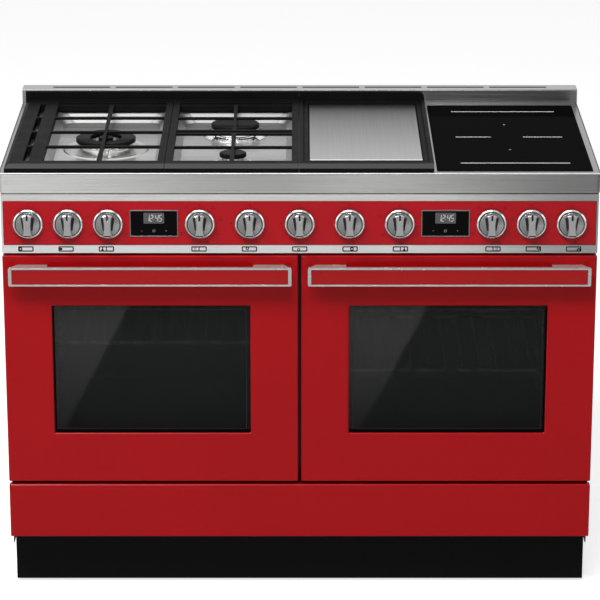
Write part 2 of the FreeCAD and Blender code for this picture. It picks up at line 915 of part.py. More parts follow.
def griddle_plate():
    gap = griddle_plate_clearance
    x0 = griddle_x + griddle_side_member + gap
    x1 = griddle_x + griddle_width - griddle_side_member - gap
    y0 = module_y + griddle_front_member + gap
    y1 = module_back_y - griddle_rear_member - gap
    foot = hob_z + griddle_ledge_height
    head = foot + griddle_plate_thickness
    edge = griddle_plate_edge
    lower = block(x0, x1, y0, y1, foot, head - edge)
    bottom = Part.makePolygon([V(x0, y0, head - edge), V(x1, y0, head - edge), V(x1, y1, head - edge),
                               V(x0, y1, head - edge), V(x0, y0, head - edge)])
    top = Part.makePolygon([V(x0 + edge, y0 + edge, head), V(x1 - edge, y0 + edge, head),
                            V(x1 - edge, y1 - edge, head), V(x0 + edge, y1 - edge, head),
                            V(x0 + edge, y0 + edge, head)])
    upper = Part.makeLoft([bottom, top], True, True)
    return joined([lower, upper])


def port_cutters(x, y, radius, count, foot_z):
    """Radial slots that cut the flame ports into a burner ring."""
    port = block(radius - burner_port_depth, radius + cut_overrun, -burner_port_width / 2,
                 burner_port_width / 2, foot_z, foot_z + burner_port_height + cut_overrun)
    cutters = []
    for index in range(count):
        cutter = port.copy()
        cutter.rotate(V(0, 0, 0), UP, 360 * index / count)
        cutter.translate(V(x, y, 0))
        cutters.append(cutter)
    return cutters


def skirt_flare(neck, edge):
    """The hollow curve of a burner's skirt, from its edge on the well's floor up to its neck."""
    points = [(edge, 0)]
    for step in range(flare_steps + 1):
        turn = math.pi / 2 * step / flare_steps
        radius = edge - (edge - neck) * math.sin(turn)
        rise = burner_skirt_edge + (burner_skirt_height - burner_skirt_edge) * (1 - math.cos(turn))
        points.append((radius, rise))
    return points


def burner_base(name, x, y, radius, count):
    """Mixing cup, flared skirt on the well's floor and the ring with its flame ports."""
    ring_radius = radius - burner_ring_step
    cup_radius = radius * burner_cup_share
    port_z = burner_head_z - burner_port_height
    head = burner_head_z - well_floor_z
    if name == "wok":
        flare = [
            (cup_radius + burner_flange_overlap, 0),
            (cup_radius + burner_flange_overlap, burner_flange_height),
            (ring_radius, burner_flange_height + burner_ring_step),
        ]
    else:
        flare = skirt_flare(ring_radius, radius + burner_skirt)
    profile = [(0, -burner_cup_depth), (cup_radius, -burner_cup_depth), (cup_radius, 0)]
    profile += flare + [(ring_radius, head), (0, head)]
    base = turned(profile, V(x, y, well_floor_z), UP)
    cutters = port_cutters(x, y, ring_radius, count, port_z)
    if name == "wok":
        moat = [
            (wok_inner_radius - burner_ring_step, burner_flange_height),
            (wok_opening_radius + burner_ring_step, burner_flange_height),
            (wok_opening_radius + burner_ring_step, burner_ring_height + cut_overrun),
            (wok_inner_radius - burner_ring_step, burner_ring_height + cut_overrun),
        ]
        cutters.append(turned(moat, V(x, y, well_floor_z), UP))
        cutters += port_cutters(x, y, wok_inner_radius - burner_ring_step, inner_port_count, port_z)
    return without(base, cutters)


def burner_cap(name, x, y, radius):
    """The loose enamelled cap; the wok burner has a ring and a small cap inside it."""
    edge = burner_cap_edge
    foot = V(x, y, burner_head_z)
    if name != "wok":
        profile = [
            (0, 0), (radius, 0), (radius, burner_cap_height - edge),
            (radius - 2 * edge, burner_cap_height), (0, burner_cap_height),
        ]
        return turned(profile, foot, UP)
    ring = [
        (wok_opening_radius, 0),
        (radius, 0),
        (radius, burner_cap_height - edge),
        (radius - 2 * edge, burner_cap_height),
        (wok_opening_radius + edge, burner_cap_height),
        (wok_opening_radius, burner_cap_height - edge),
    ]
    button = [
        (0, 0),
        (wok_inner_radius, 0),
        (wok_inner_radius, burner_cap_height - edge),
        (wok_inner_radius - edge, burner_cap_height),
        (0, burner_cap_height),
    ]
    return group([turned(ring, foot, UP), turned(button, foot, UP)])


# Fascia and knobs

def inlet_x():
    return -knob_outer_place - rail_end_margin / 2


def knobs():
    """Each knob: name, place across the fascia, and whether it turns a gas tap."""
    return [
        ("wok_outer", -knob_outer_place, True),
        ("wok_inner", -knob_second_place, True),
        ("left_oven_thermostat", -knob_third_place, False),
        ("left_oven_function", -knob_fourth_place, False),
        ("rapid_burner", -knob_fifth_place, True),
        ("auxiliary_burner", 0, True),
        ("griddle", knob_fifth_place, False),
        ("right_oven_thermostat", knob_fourth_place, False),
        ("right_oven_function", knob_third_place, False),
        ("induction_rear", knob_second_place, False),
        ("induction_front", knob_outer_place, False),
    ]


def control_fascia():
    """The folded steel front, with display frames and a bush behind each knob."""
    x = width / 2 - side_reveal
    head = fascia_z + fascia_height
    outer = block(-x, x, fascia_y, carcass_y, fascia_z, head)
    hollow = block(fascia_sheet - x, x - fascia_sheet, fascia_back_y, carcass_y + cut_overrun,
                   fascia_z + fascia_sheet, head - fascia_sheet)
    added = [outer.cut(hollow)]
    cutters = []
    for place in (-display_place, display_place):
        half_x = display_width / 2
        half_z = display_height / 2
        frame_x = half_x + display_frame
        frame_z = half_z + display_frame
        added.append(block(place - frame_x, place + frame_x, face_y - display_frame_proud, fascia_y,
                           knob_z - frame_z, knob_z + frame_z))
        cutters.append(block(place - half_x, place + half_x, front_edge_y - cut_overrun,
                             fascia_back_y + cut_overrun, knob_z - half_z, knob_z + half_z))
    for _, place, gas in knobs():
        inner = (sleeve_radius if gas else spindle_radius) + running_fit
        added.append(rod(inner + bush_wall, V(place, fascia_y, knob_z), TO_BACK, bush_length))
        cutters.append(rod(inner, V(place, fascia_y - cut_overrun, knob_z), TO_BACK,
                           bush_length + 2 * cut_overrun))
    return without(joined(added), cutters)


def fascia_insert():
    x = width / 2 - side_reveal - insert_side_margin
    foot = fascia_z + insert_above_foot
    plate = rounded_panel(-x, x, face_y, fascia_y, foot, foot + insert_height, insert_corner)
    cutters = []
    for place in (-display_place, display_place):
        half_x = display_width / 2 + display_frame
        half_z = display_height / 2 + display_frame
        cutters.append(block(place - half_x, place + half_x, face_y - cut_overrun, fascia_y + cut_overrun,
                             knob_z - half_z, knob_z + half_z))
    for _, place, gas in knobs():
        inner = (sleeve_flange_radius if gas else spindle_radius) + insert_hole_clearance
        cutters.append(rod(inner, V(place, face_y - cut_overrun, knob_z), TO_BACK,
                           insert_thickness + 2 * cut_overrun))
    return without(plate, cutters)


def display_modules():
    """Two clock modules behind glass, each set in its frame."""
    front = face_y - display_frame_proud + display_glass_drop
    half_x = display_width / 2
    half_z = display_height / 2
    modules = []
    for place in (-display_place, display_place):
        modules.append(block(place - half_x, place + half_x, front, front + display_depth,
                             knob_z - half_z, knob_z + half_z))
    return group(modules)


def knob(place, gas):
    """A conical skirt, a groove, a disc and a waisted grip bar, with the spindle that it turns.

    A gas knob's spindle is short, and turns in the sleeve that moves in with the knob.
    """
    stand = knob_stand
    centre = V(place, face_y, knob_z)
    body = turned([
        (0, stand + knob_hollow_depth),
        (knob_hollow_radius, stand + knob_hollow_depth),
        (knob_hollow_radius, stand),
        (knob_radius, stand),
        (knob_radius, stand + knob_skirt_lip),
        (knob_skirt_top_radius, knob_skirt_height),
        (knob_groove_radius, knob_skirt_height),
        (knob_disc_radius, knob_disc_height),
        (0, knob_disc_height),
    ], centre, TO_FRONT)
    half_length = math.sqrt(knob_disc_radius ** 2 - (knob_grip_end / 2) ** 2)
    base_y = face_y - knob_disc_height
    left, right = place - knob_grip_end / 2, place + knob_grip_end / 2
    head, foot = knob_z + half_length, knob_z - half_length
    outline = Part.Wire([
        Part.Arc(V(left, base_y, head), V(place, base_y, knob_z + knob_disc_radius),
                 V(right, base_y, head)).toShape(),
        Part.Arc(V(right, base_y, head), V(place + knob_grip_waist / 2, base_y, knob_z),
                 V(right, base_y, foot)).toShape(),
        Part.Arc(V(right, base_y, foot), V(place, base_y, knob_z - knob_disc_radius),
                 V(left, base_y, foot)).toShape(),
        Part.Arc(V(left, base_y, foot), V(place - knob_grip_waist / 2, base_y, knob_z),
                 V(left, base_y, head)).toShape(),
    ])
    grip = Part.Face(outline).extrude(V(0, knob_disc_height - knob_height, 0))
    top_y = face_y - knob_height + knob_grip_edge / 2
    top_edges = [edge for edge in grip.Edges if edge.BoundBox.YMax < top_y]
    grip = grip.makeChamfer(knob_grip_edge, top_edges)
    reach = knob_hollow_depth if gas else stand + knob_hollow_depth + insert_thickness + spindle_length
    spindle = rod(spindle_radius, V(place, face_y - stand - knob_hollow_depth, knob_z), TO_BACK, reach)
    mark = block(place - knob_mark_width / 2, place + knob_mark_width / 2,
                 face_y - knob_height - cut_overrun, face_y - knob_height + knob_mark_depth,
                 knob_z + knob_disc_radius - knob_mark_length, knob_z + knob_disc_radius + cut_overrun)
    return joined([body, grip, spindle]).cut(mark)


def tap_sleeve(place):
    """The sleeve that moves in with a gas knob when it is pushed, but doesn't turn."""
    front = face_y - knob_stand - knob_hollow_depth + seat_gap
    length = fascia_y + sleeve_length - front
    bore = spindle_radius + running_fit
    profile = [
        (bore, 0),
        (sleeve_flange_radius, 0),
        (sleeve_flange_radius, sleeve_flange),
        (sleeve_radius, sleeve_flange),
        (sleeve_radius, length),
        (bore, length),
    ]
    return turned(profile, V(place, front, knob_z), TO_BACK)


def gas_rail():
    """The square manifold with a tap behind each gas knob, and the pipe to the inlet at the back."""
    rail_y = carcass_y - rail_section
    tap_y = fascia_y + sleeve_length + tap_push + seat_gap
    left = -knob_outer_place - rail_end_margin
    right = tap_radius
    half = rail_section / 2
    parts = [block(left, right, rail_y, carcass_y, knob_z - half, knob_z + half)]
    for _, place, gas in knobs():
        if gas:
            parts.append(rod(tap_radius, V(place, tap_y, knob_z), TO_BACK, carcass_y - half - tap_y))
    start = V(inlet_x(), carcass_y - half, knob_z)
    collar_y = back_panel_y + sheet
    parts.append(rod(inlet_pipe_radius, start, TO_BACK, collar_y - start.y))
    parts.append(rod(inlet_collar_radius, V(inlet_x(), collar_y, knob_z), TO_BACK, inlet_collar_length))
    parts.append(rod(inlet_thread_radius, V(inlet_x(), collar_y, knob_z), TO_BACK,
                     inlet_collar_length + inlet_thread_length))
    bore = rod(inlet_pipe_radius - inlet_wall, V(inlet_x(), collar_y, knob_z), TO_BACK,
               inlet_collar_length + inlet_thread_length + cut_overrun)
    return joined(parts).cut(bore)


# Ovens

def oven_liner(centre):
    """The pressed cavity: rounded walls, a back, a front flange and the fan's bearing."""
    x0 = centre - cavity_width / 2
    x1 = centre + cavity_width / 2
    wall = liner_wall
    outer = rounded_panel(x0 - wall, x1 + wall, frame_back_y, liner_back_y + wall,
                          cavity_z - wall, cavity_top_z + wall, cavity_corner + wall)
    flange = block(x0 - liner_flange, x1 + liner_flange, frame_back_y, frame_back_y + wall,
                   cavity_z - liner_flange, cavity_top_z + liner_flange)
    bearing = rod(fan_bearing_radius, V(centre, liner_back_y, fan_z), TO_BACK, fan_bearing_length)
    space = rounded_panel(x0, x1, frame_back_y - cut_overrun, liner_back_y, cavity_z, cavity_top_z,
                          cavity_corner)
    bore = rod(fan_shaft_radius + running_fit, V(centre, liner_back_y - cut_overrun, fan_z), TO_BACK,
               fan_bearing_length + 2 * cut_overrun)
    return without(joined([outer, flange, bearing]), [space, bore])


def door_seal(centre):
    """The ring of sealing cord on the front frame, round the oven's mouth."""
    x = cavity_width / 2 + seal_offset
    z0 = cavity_z - seal_offset
    z1 = cavity_top_z + seal_offset
    y0 = door_back_y + seat_gap
    outer = rounded_panel(centre - x - seal_width, centre + x + seal_width, y0, carcass_y,
                          z0 - seal_width, z1 + seal_width, cavity_corner + seal_width)
    inner = rounded_panel(centre - x, centre + x, y0 - cut_overrun, carcass_y + cut_overrun, z0, z1,
                          cavity_corner)
    return outer.cut(inner)


def shelf_guide_z(level):
    """The top of a shelf guide's lower rod."""
    pitch = (cavity_height - ladder_foot - ladder_head) / (ladder_levels - 1)
    return cavity_z + ladder_foot + level * pitch


def shelf_ladder(centre, side):
    """A rack of shelf guides on one wall of an oven."""
    wall_x = centre + side * (cavity_width / 2 - ladder_wall_gap)
    inner_x = wall_x - side * ladder_rod
    reach_x = wall_x - side * ladder_reach
    upright_x = sorted((wall_x, inner_x))
    guide_x = sorted((inner_x, reach_x))
    y0 = frame_back_y + ladder_end
    y1 = liner_back_y - ladder_end
    foot = cavity_z + ladder_foot - ladder_slot
    head = shelf_guide_z(ladder_levels - 1) + ladder_slot + 2 * ladder_rod
    parts = []
    for y in (y0, y1 - ladder_rod):
        parts.append(block(upright_x[0], upright_x[1], y, y + ladder_rod, foot, head))
    for level in range(ladder_levels):
        z = shelf_guide_z(level)
        parts.append(block(guide_x[0], guide_x[1], y0, y1, z - ladder_rod, z))
        parts.append(block(upright_x[0], upright_x[1], y0 + ladder_rod, y1 - ladder_rod, z - ladder_rod, z))
        parts.append(block(upright_x[0], upright_x[1], y0 + ladder_rod, y1 - ladder_rod,
                           z + ladder_slot, z + ladder_slot + ladder_rod))
    return joined(parts)


def ring_element(centre):
    """The element round the fan, on two pegs that stand on the back wall."""
    y1 = liner_back_y - fan_wall_gap
    y0 = y1 - ring_element_height
    ring = rod(ring_element_radius + ring_element_width, V(centre, y0, fan_z), TO_BACK, ring_element_height)
    ring = ring.cut(rod(ring_element_radius, V(centre, y0 - cut_overrun, fan_z), TO_BACK,
                        ring_element_height + 2 * cut_overrun))
    half = ring_element_width / 2
    pegs = []
    for side in (-1, 1):
        x = centre + side * (ring_element_radius + half)
        pegs.append(block(x - half, x + half, y1 - ring_element_height / 2, liner_back_y,
                          fan_z - half, fan_z + half))
    return joined([ring] + pegs)


def grill_element(centre):
    """The tube under the oven's roof, out of the back wall, round the front and back again."""
    x = cavity_width / 2 - grill_element_side
    z = cavity_top_z - grill_element_drop
    front = frame_back_y + grill_element_front
    corners = [
        V(centre - x, liner_back_y, z),
        V(centre - x, front, z),
        V(centre + x, front, z),
        V(centre + x, liner_back_y, z),
    ]
    tube = bent_tube(corners, grill_element_radius, grill_element_bend)
    half = grill_bracket_width / 2
    bracket = block(centre - half, centre + half, front - grill_element_radius,
                    front + grill_element_radius, z, cavity_top_z)
    return joined([tube, bracket])


def griddle_element():
    """The element under the griddle, on the floor of its well."""
    x0 = griddle_x + griddle_element_inset + griddle_side_member
    x1 = griddle_x + griddle_width - griddle_element_inset - griddle_side_member
    front = module_y + griddle_front_member + griddle_element_inset
    back = module_back_y - griddle_rear_member - griddle_element_inset
    z = griddle_well_floor_z + griddle_element_radius + seat_gap
    corners = [V(x0, back, z), V(x0, front, z), V(x1, front, z), V(x1, back, z)]
    return bent_tube(corners, griddle_element_radius, griddle_element_bend)


def heating_elements():
    shapes = [griddle_element()]
    for centre in (-oven_x, oven_x):
        shapes.append(ring_element(centre))
        shapes.append(grill_element(centre))
    return group(shapes)


def fan_cover(centre):
    """The pressed plate before the fan, with a ring of intake slots and open ends for the warm air."""
    half_x = fan_cover_width / 2
    half_z = fan_cover_height / 2
    y0 = liner_back_y - fan_cover_depth
    outer = rounded_panel(centre - half_x, centre + half_x, y0, liner_back_y,
                          fan_z - half_z, fan_z + half_z, fan_cover_corner)
    wall = liner_wall
    hollow = rounded_panel(centre - half_x + wall, centre + half_x - wall, y0 + wall,
                           liner_back_y + cut_overrun, fan_z - half_z + wall, fan_z + half_z - wall,
                           fan_cover_corner - wall)
    slots = []
    for index in range(fan_cover_slot_count):
        slot = block(fan_cover_slot_inner, fan_cover_slot_outer, y0 - cut_overrun, y0 + cut_overrun,
                     -fan_cover_slot_width / 2, fan_cover_slot_width / 2)
        if index % 2:
            slot = slot.common(block((fan_cover_slot_inner + fan_cover_slot_outer) / 2, fan_cover_slot_outer,
                                     y0 - cut_overrun, y0 + cut_overrun,
                                     -fan_cover_slot_width / 2, fan_cover_slot_width / 2))
        slot.rotate(V(0, 0, 0), TO_BACK, 360 * index / fan_cover_slot_count)
        slot.translate(V(centre, 0, fan_z))
        slots.append(slot)
    return without(outer, [hollow] + slots)


def convection_fan(centre):
    """A disc with straight blades on a shaft that runs through the back wall."""
    y1 = liner_back_y - fan_wall_gap
    y0 = y1 - fan_depth
    parts = [
        rod(fan_radius, V(centre, y1 - fan_disc, fan_z), TO_BACK, fan_disc),
        rod(fan_hub_radius, V(centre, y0, fan_z), TO_BACK, fan_depth - fan_disc),
        rod(fan_shaft_radius, V(centre, y1, fan_z), TO_BACK, fan_wall_gap + fan_bearing_length),
    ]
    for index in range(fan_blade_count):
        blade = block(fan_hub_radius - fan_blade, fan_radius - fan_blade, y0, y1 - fan_disc,
                      -fan_blade / 2, fan_blade / 2)
        blade.rotate(V(0, 0, 0), TO_BACK, 360 * index / fan_blade_count)
        blade.translate(V(centre, 0, fan_z))
        parts.append(blade)
    return joined(parts)


def wire_shelf(centre, level):
    """A frame of flat bar with round wires from front to back and a stop along its rear."""
    half = cavity_width / 2 - ladder_wall_gap - ladder_rod - shelf_side_gap
    y0 = frame_back_y + shelf_front_gap
    y1 = liner_back_y - fan_cover_depth - shelf_back_gap
    z0 = shelf_guide_z(level) + seat_gap
    z1 = z0 + shelf_rail
    rail = shelf_rail
    frame = block(centre - half, centre + half, y0, y1, z0, z1)
    frame = frame.cut(block(centre - half + rail, centre + half - rail, y0 + rail, y1 - rail,
                            z0 - cut_overrun, z1 + cut_overrun))
    stop = block(centre - half + ladder_reach, centre + half - ladder_reach, y1 - rail, y1, z1,
                 z1 + shelf_stop_height)
    window = block(centre - half + ladder_reach + rail, centre + half - ladder_reach - rail,
                   y1 - rail - cut_overrun, y1 + cut_overrun, z1, z1 + shelf_stop_height - rail)
    parts = [frame, stop.cut(window)]
    pitch = (2 * half - rail) / (shelf_wire_count + 1)
    for index in range(shelf_wire_count):
        x = centre - half + rail / 2 + (index + 1) * pitch
        parts.append(rod(shelf_wire_radius, V(x, y0 + rail, (z0 + z1) / 2), TO_BACK, y1 - y0 - 2 * rail))
    return joined(parts)


# Doors

def hinge_places(centre):
    """Middle planes of a door's two hinges."""
    reach = door_width / 2 - hinge_from_door_side
    return [centre - reach, centre + reach]


def door_panel(centre):
    """The enamelled door: outer skin with its window, inner frame behind, and the hinge knuckles."""
    x0 = centre - door_width / 2
    x1 = centre + door_width / 2
    z1 = door_z + door_height
    skin = bevelled_panel(x0, x1, face_y, face_y + door_skin, door_z, z1, door_corner, window_bevel)
    back = block(x0 + inner_frame_side, x1 - inner_frame_side, face_y + door_skin, door_back_y,
                 door_z + inner_frame_foot, z1 - inner_frame_head)
    slot_half = hinge_plate / 2 + hinge_slot_clearance
    added = [skin, back]
    cutters = window_cutters(centre)
    for x in hinge_places(centre):
        reach = slot_half + hinge_knuckle
        added.append(rod(hinge_plate_half_height, V(x - reach, hinge_y, hinge_z), TO_RIGHT, 2 * reach))
        added.append(block(x - reach, x + reach, hinge_y, hinge_y + hinge_plate_half_height,
                           hinge_z, hinge_z + 2 * hinge_plate_half_height))
        depth = hinge_plate_half_height + hinge_slot_clearance
        cutters.append(block(x - slot_half, x + slot_half, hinge_y - depth, door_back_y + cut_overrun,
                             door_z - cut_overrun, hinge_z + depth))
        cutters.append(rod(hinge_pin_radius + running_fit, V(x - reach - cut_overrun, hinge_y, hinge_z),
                           TO_RIGHT, 2 * (reach + cut_overrun)))
    return without(joined(added), cutters)


def window_frame(centre, lap):
    """The window's sides, grown all round by a lap."""
    z0 = door_z + window_above_foot
    half = window_width / 2 + lap
    return centre - half, centre + half, z0 - lap, z0 + window_height + lap


def window_cutters(centre):
    """The window: its bevelled mouth, the rebates of both panes and the space between them."""
    x0, x1, z0, z1 = window_frame(centre, 0)
    mouth = rounded_panel(x0, x1, face_y - cut_overrun, door_back_y + cut_overrun, z0, z1, window_corner)
    wide = rounded_outline(x0 - window_bevel, x1 + window_bevel, z0 - window_bevel, z1 + window_bevel,
                           window_corner + window_bevel, face_y)
    narrow = rounded_outline(x0, x1, z0, z1, window_corner, face_y + window_bevel)
    flare = Part.makeLoft([wide, narrow], True, True)
    x0, x1, z0, z1 = window_frame(centre, glass_lap)
    outer_y = face_y + glass_setback
    rebate = rounded_panel(x0, x1, outer_y, outer_y + glass_thickness, z0, z1, glass_corner)
    x0, x1, z0, z1 = window_frame(centre, inner_glass_lap)
    inner = rounded_panel(x0, x1, door_back_y - glass_thickness, door_back_y + cut_overrun, z0, z1,
                          glass_corner)
    return [mouth, flare, rebate, inner]


def door_glass_outer(centre):
    x0, x1, z0, z1 = window_frame(centre, glass_lap)
    y = face_y + glass_setback
    return rounded_panel(x0, x1, y, y + glass_thickness, z0, z1, glass_corner)


def door_glass_inner(centre):
    x0, x1, z0, z1 = window_frame(centre, inner_glass_lap)
    return rounded_panel(x0, x1, door_back_y - glass_thickness, door_back_y, z0, z1, glass_corner)


def handle_frame(centre):
    """The bar with its pocket for the coloured insert, on two tapered stand-offs."""
    x0 = centre - handle_length / 2
    x1 = centre + handle_length / 2
    z1 = door_z + door_height - handle_below_head
    z0 = z1 - handle_height
    front = face_y - handle_projection
    behind = front + handle_bar
    bar = rounded_panel(x0, x1, front, behind, z0, z1, handle_corner)
    pocket_space = block(x0 + handle_end_rim, x1 - handle_end_rim, front - cut_overrun,
                         front + handle_pocket, z0 + handle_rim, z1 - handle_rim)
    middle = (z0 + z1) / 2
    parts = [bar.cut(pocket_space)]
    for side in (-1, 1):
        outer = centre + side * (handle_length / 2 - handle_corner)
        inner = outer - side * standoff_length
        corners = [
            V(outer, behind, middle - standoff_height / 2),
            V(inner, behind, middle - standoff_height / 2),
            V(inner, face_y, middle - standoff_height / 2),
            V(outer - side * standoff_taper, face_y, middle - standoff_height / 2),
        ]
        parts.append(prism(corners, V(0, 0, standoff_height)))
    return joined(parts)


def handle_insert(centre):
    """The coloured strip in the handle's pocket, crowned a little along its length."""
    x0 = centre - handle_length / 2 + handle_end_rim
    x1 = centre + handle_length / 2 - handle_end_rim
    z1 = door_z + door_height - handle_below_head - handle_rim
    z0 = z1 - handle_height + 2 * handle_rim
    seat = face_y - handle_projection + handle_pocket
    front = seat - handle_pocket + handle_insert_crown
    crown = front - handle_insert_crown / 2
    outline = Part.Wire([
        Part.makeLine(V(x0, seat, z0), V(x0, front, z0)),
        Part.Arc(V(x0, front, z0), V(x0, crown, (z0 + z1) / 2), V(x0, front, z1)).toShape(),
        Part.makeLine(V(x0, front, z1), V(x0, seat, z1)),
        Part.makeLine(V(x0, seat, z1), V(x0, seat, z0)),
    ])
    return Part.Face(outline).extrude(V(x1 - x0, 0, 0))


def hinge_brackets():
    """A plate with its pin for each hinge, on a foot on the front frame."""
    brackets = []
    for centre in (-oven_x, oven_x):
        for x in hinge_places(centre):
            half = hinge_plate / 2
            height = hinge_plate_half_height
            reach = half + hinge_slot_clearance + hinge_knuckle
            plate = block(x - half, x + half, hinge_y, carcass_y, hinge_z - height, hinge_z + height)
            nose = rod(height, V(x - half, hinge_y, hinge_z), TO_RIGHT, hinge_plate)
            pin = rod(hinge_pin_radius, V(x - reach, hinge_y, hinge_z), TO_RIGHT, 2 * reach)
            foot = block(x - hinge_foot_width / 2, x + hinge_foot_width / 2,
                         carcass_y - hinge_foot_thickness, carcass_y,
                         hinge_z - height, hinge_z - height + hinge_foot_height)
            brackets.append(joined([plate, nose, pin, foot]))
    return group(brackets)


# Drawer

def drawer_front():
    """The full width panel, hollowed along its top edge for the fingers."""
    x = width / 2 - side_reveal
    head = drawer_z + drawer_front_height
    back = face_y + drawer_front_thickness
    panel = bevelled_panel(-x, x, face_y, back, drawer_z, head, drawer_front_corner, window_bevel)
    groove = [
        V(-x - cut_overrun, back - drawer_grip_depth, head + cut_overrun),
        V(-x - cut_overrun, back - drawer_grip_depth, head - drawer_grip_height / 2),
        V(-x - cut_overrun, back + cut_overrun, head - drawer_grip_height),
        V(-x - cut_overrun, back + cut_overrun, head + cut_overrun),
    ]
    return panel.cut(prism(groove, V(2 * x + 2 * cut_overrun, 0, 0)))


def drawer_box_half_width():
    return inside_x - seat_gap - runner_foot_width


def drawer_box():
    """The folded tray with a slide along each side."""
    half = drawer_box_half_width() - runner_width
    y0 = face_y + drawer_front_thickness
    y1 = back_panel_y - drawer_back_space
    z0 = base_top_z + drawer_box_lift
    z1 = z0 + drawer_box_height
    wall = drawer_wall
    tray = block(-half, half, y0, y1, z0, z1)
    tray = tray.cut(block(wall - half, half - wall, y0 + wall, y1 - wall, z0 + wall, z1 + cut_overrun))
    slide_z = z0 + (drawer_box_height - runner_height) / 2
    lip = runner_lip + runner_clearance
    slide = block(half, half + runner_width - lip, y0 + seal_space, y1,
                  slide_z + lip, slide_z + runner_height - lip)
    return joined([tray] + mirrored_pair(slide))


def drawer_runners():
    """A C shaped rail along each side that holds the drawer's slide, on a foot from the side panel."""
    half = drawer_box_half_width() - runner_width
    y0 = frame_back_y
    y1 = back_panel_y - drawer_back_space
    z0 = base_top_z + drawer_box_lift + (drawer_box_height - runner_height) / 2
    z1 = z0 + runner_height
    clear = runner_clearance
    outer = block(half + clear, half + runner_width, y0, y1, z0, z1)
    groove = block(half, half + runner_width - runner_lip, y0 - cut_overrun, y1 + cut_overrun,
                   z0 + runner_lip, z1 - runner_lip)
    web = block(half + runner_width, inside_x, y0, y1, z0, z0 + runner_lip)
    post = block(half + runner_width, inside_x, y0, y1, z1 - runner_lip, z1)
    return group(mirrored_pair(joined([outer.cut(groove), web, post])))


# The whole cooker

def save_carcass():
    save("base_frame", base_frame())
    save("levelling_feet", levelling_feet())
    save("outer_panels", outer_panels())
    save("plinth", plinth())
    save("front_frame", front_frame())
    save("hinge_brackets", hinge_brackets())


def save_hob():
    save("worktop", worktop())
    save("upstand", upstand())
    save("induction_glass", induction_glass())
    save("induction_module", induction_module())
    left_end = support_left_x + support_left_width
    save("pan_support_left",
         pan_support(support_left_x, left_end, support_wing, wok_place_x, support_bar_depths(False)))
    centre_end = support_centre_x + support_centre_width
    save("pan_support_centre",
         pan_support(support_centre_x, centre_end, support_side_member, centre_burners_x,
                     support_bar_depths(True)))
    save("griddle_frame", griddle_frame())
    save("griddle_plate", griddle_plate())
    save("burner_bases", group([burner_base(*burner) for burner in burners()]))
    for name, x, y, radius, _ in burners():
        save(f"burner_cap_{name}", burner_cap(name, x, y, radius))


def save_front():
    save("control_fascia", control_fascia())
    save("fascia_insert", fascia_insert())
    save("display_modules", display_modules())
    save("gas_rail", gas_rail())
    for name, place, gas in knobs():
        save(f"knob_{name}", knob(place, gas))
        if gas:
            save(f"tap_sleeve_{name}", tap_sleeve(place))


def save_ovens():
    sides = (("left", -oven_x, left_shelf_levels), ("right", oven_x, right_shelf_levels))
    for side, centre, level in sides:
        save(f"oven_liner_{side}", oven_liner(centre))
        save(f"convection_fan_{side}", convection_fan(centre))
        save(f"wire_shelf_{side}", wire_shelf(centre, level))
        save(f"door_{side}_panel", door_panel(centre))
        save(f"door_{side}_glass_outer", door_glass_outer(centre))
        save(f"door_{side}_glass_inner", door_glass_inner(centre))
        save(f"door_{side}_handle_frame", handle_frame(centre))
        save(f"door_{side}_handle_insert", handle_insert(centre))
    centres = (-oven_x, oven_x)
    save("door_seals", group([door_seal(centre) for centre in centres]))
    save("shelf_ladders", group([shelf_ladder(centre, side) for centre in centres for side in (-1, 1)]))
    save("heating_elements", heating_elements())
    save("fan_covers", group([fan_cover(centre) for centre in centres]))


def save_drawer():
    save("drawer_front", drawer_front())
    save("drawer_box", drawer_box())
    save("drawer_runners", drawer_runners())


os.makedirs("parts", exist_ok=True)
save_carcass()
save_hob()
save_front()
save_ovens()
save_drawer()
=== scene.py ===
import json
import math

import bmesh
import bpy
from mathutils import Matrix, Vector


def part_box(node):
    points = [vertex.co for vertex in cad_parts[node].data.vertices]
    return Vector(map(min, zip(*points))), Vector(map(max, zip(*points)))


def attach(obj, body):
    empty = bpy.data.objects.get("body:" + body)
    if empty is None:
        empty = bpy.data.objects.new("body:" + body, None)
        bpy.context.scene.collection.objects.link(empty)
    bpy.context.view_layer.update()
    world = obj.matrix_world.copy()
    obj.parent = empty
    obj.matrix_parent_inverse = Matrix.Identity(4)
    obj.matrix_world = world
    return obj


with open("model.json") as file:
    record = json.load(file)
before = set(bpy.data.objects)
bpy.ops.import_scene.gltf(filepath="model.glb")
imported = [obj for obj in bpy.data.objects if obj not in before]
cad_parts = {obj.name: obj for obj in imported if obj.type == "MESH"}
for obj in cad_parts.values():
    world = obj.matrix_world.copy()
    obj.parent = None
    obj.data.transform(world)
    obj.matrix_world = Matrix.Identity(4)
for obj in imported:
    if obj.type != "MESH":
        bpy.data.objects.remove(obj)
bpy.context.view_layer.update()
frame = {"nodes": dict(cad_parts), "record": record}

# Looks of a dual fuel range cooker: finishes with painted light and shade, printed marks and small fittings.
# All lengths are in metres.

FRONT = Vector((0, -1, 0))
BACK = Vector((0, 1, 0))
UP = Vector((0, 0, 1))
ROOT = "cooker"
SIDES = (-1, 1)

# Printed marks
print_thickness = 0.00008
merge_distance = 1e-7
circle_steps = 24
mark_radius = 0.0375
symbol_radius = 0.042
symbol_size = 0.0056
dial_dot = 0.0014
flame_height = 0.0050
flame_width = 0.0032
number_height = 0.0052

# Signs under the knobs
icon_width = 0.031
icon_height = 0.0112
icon_corner = 0.0024
icon_line = 0.0024
icon_ring = 0.0038
icon_spread = 1.011
icon_side_place = 0.0105
bulb_radius = 0.0024
stem_foot = -0.0020
stem_head = 0.0040
stem_line = 0.0019
heat_bar_half = 0.0036
heat_bar_rise = 0.0032
heat_bar_line = 0.0009
heat_ring_radius = 0.0019
heat_ring_line = 0.0007

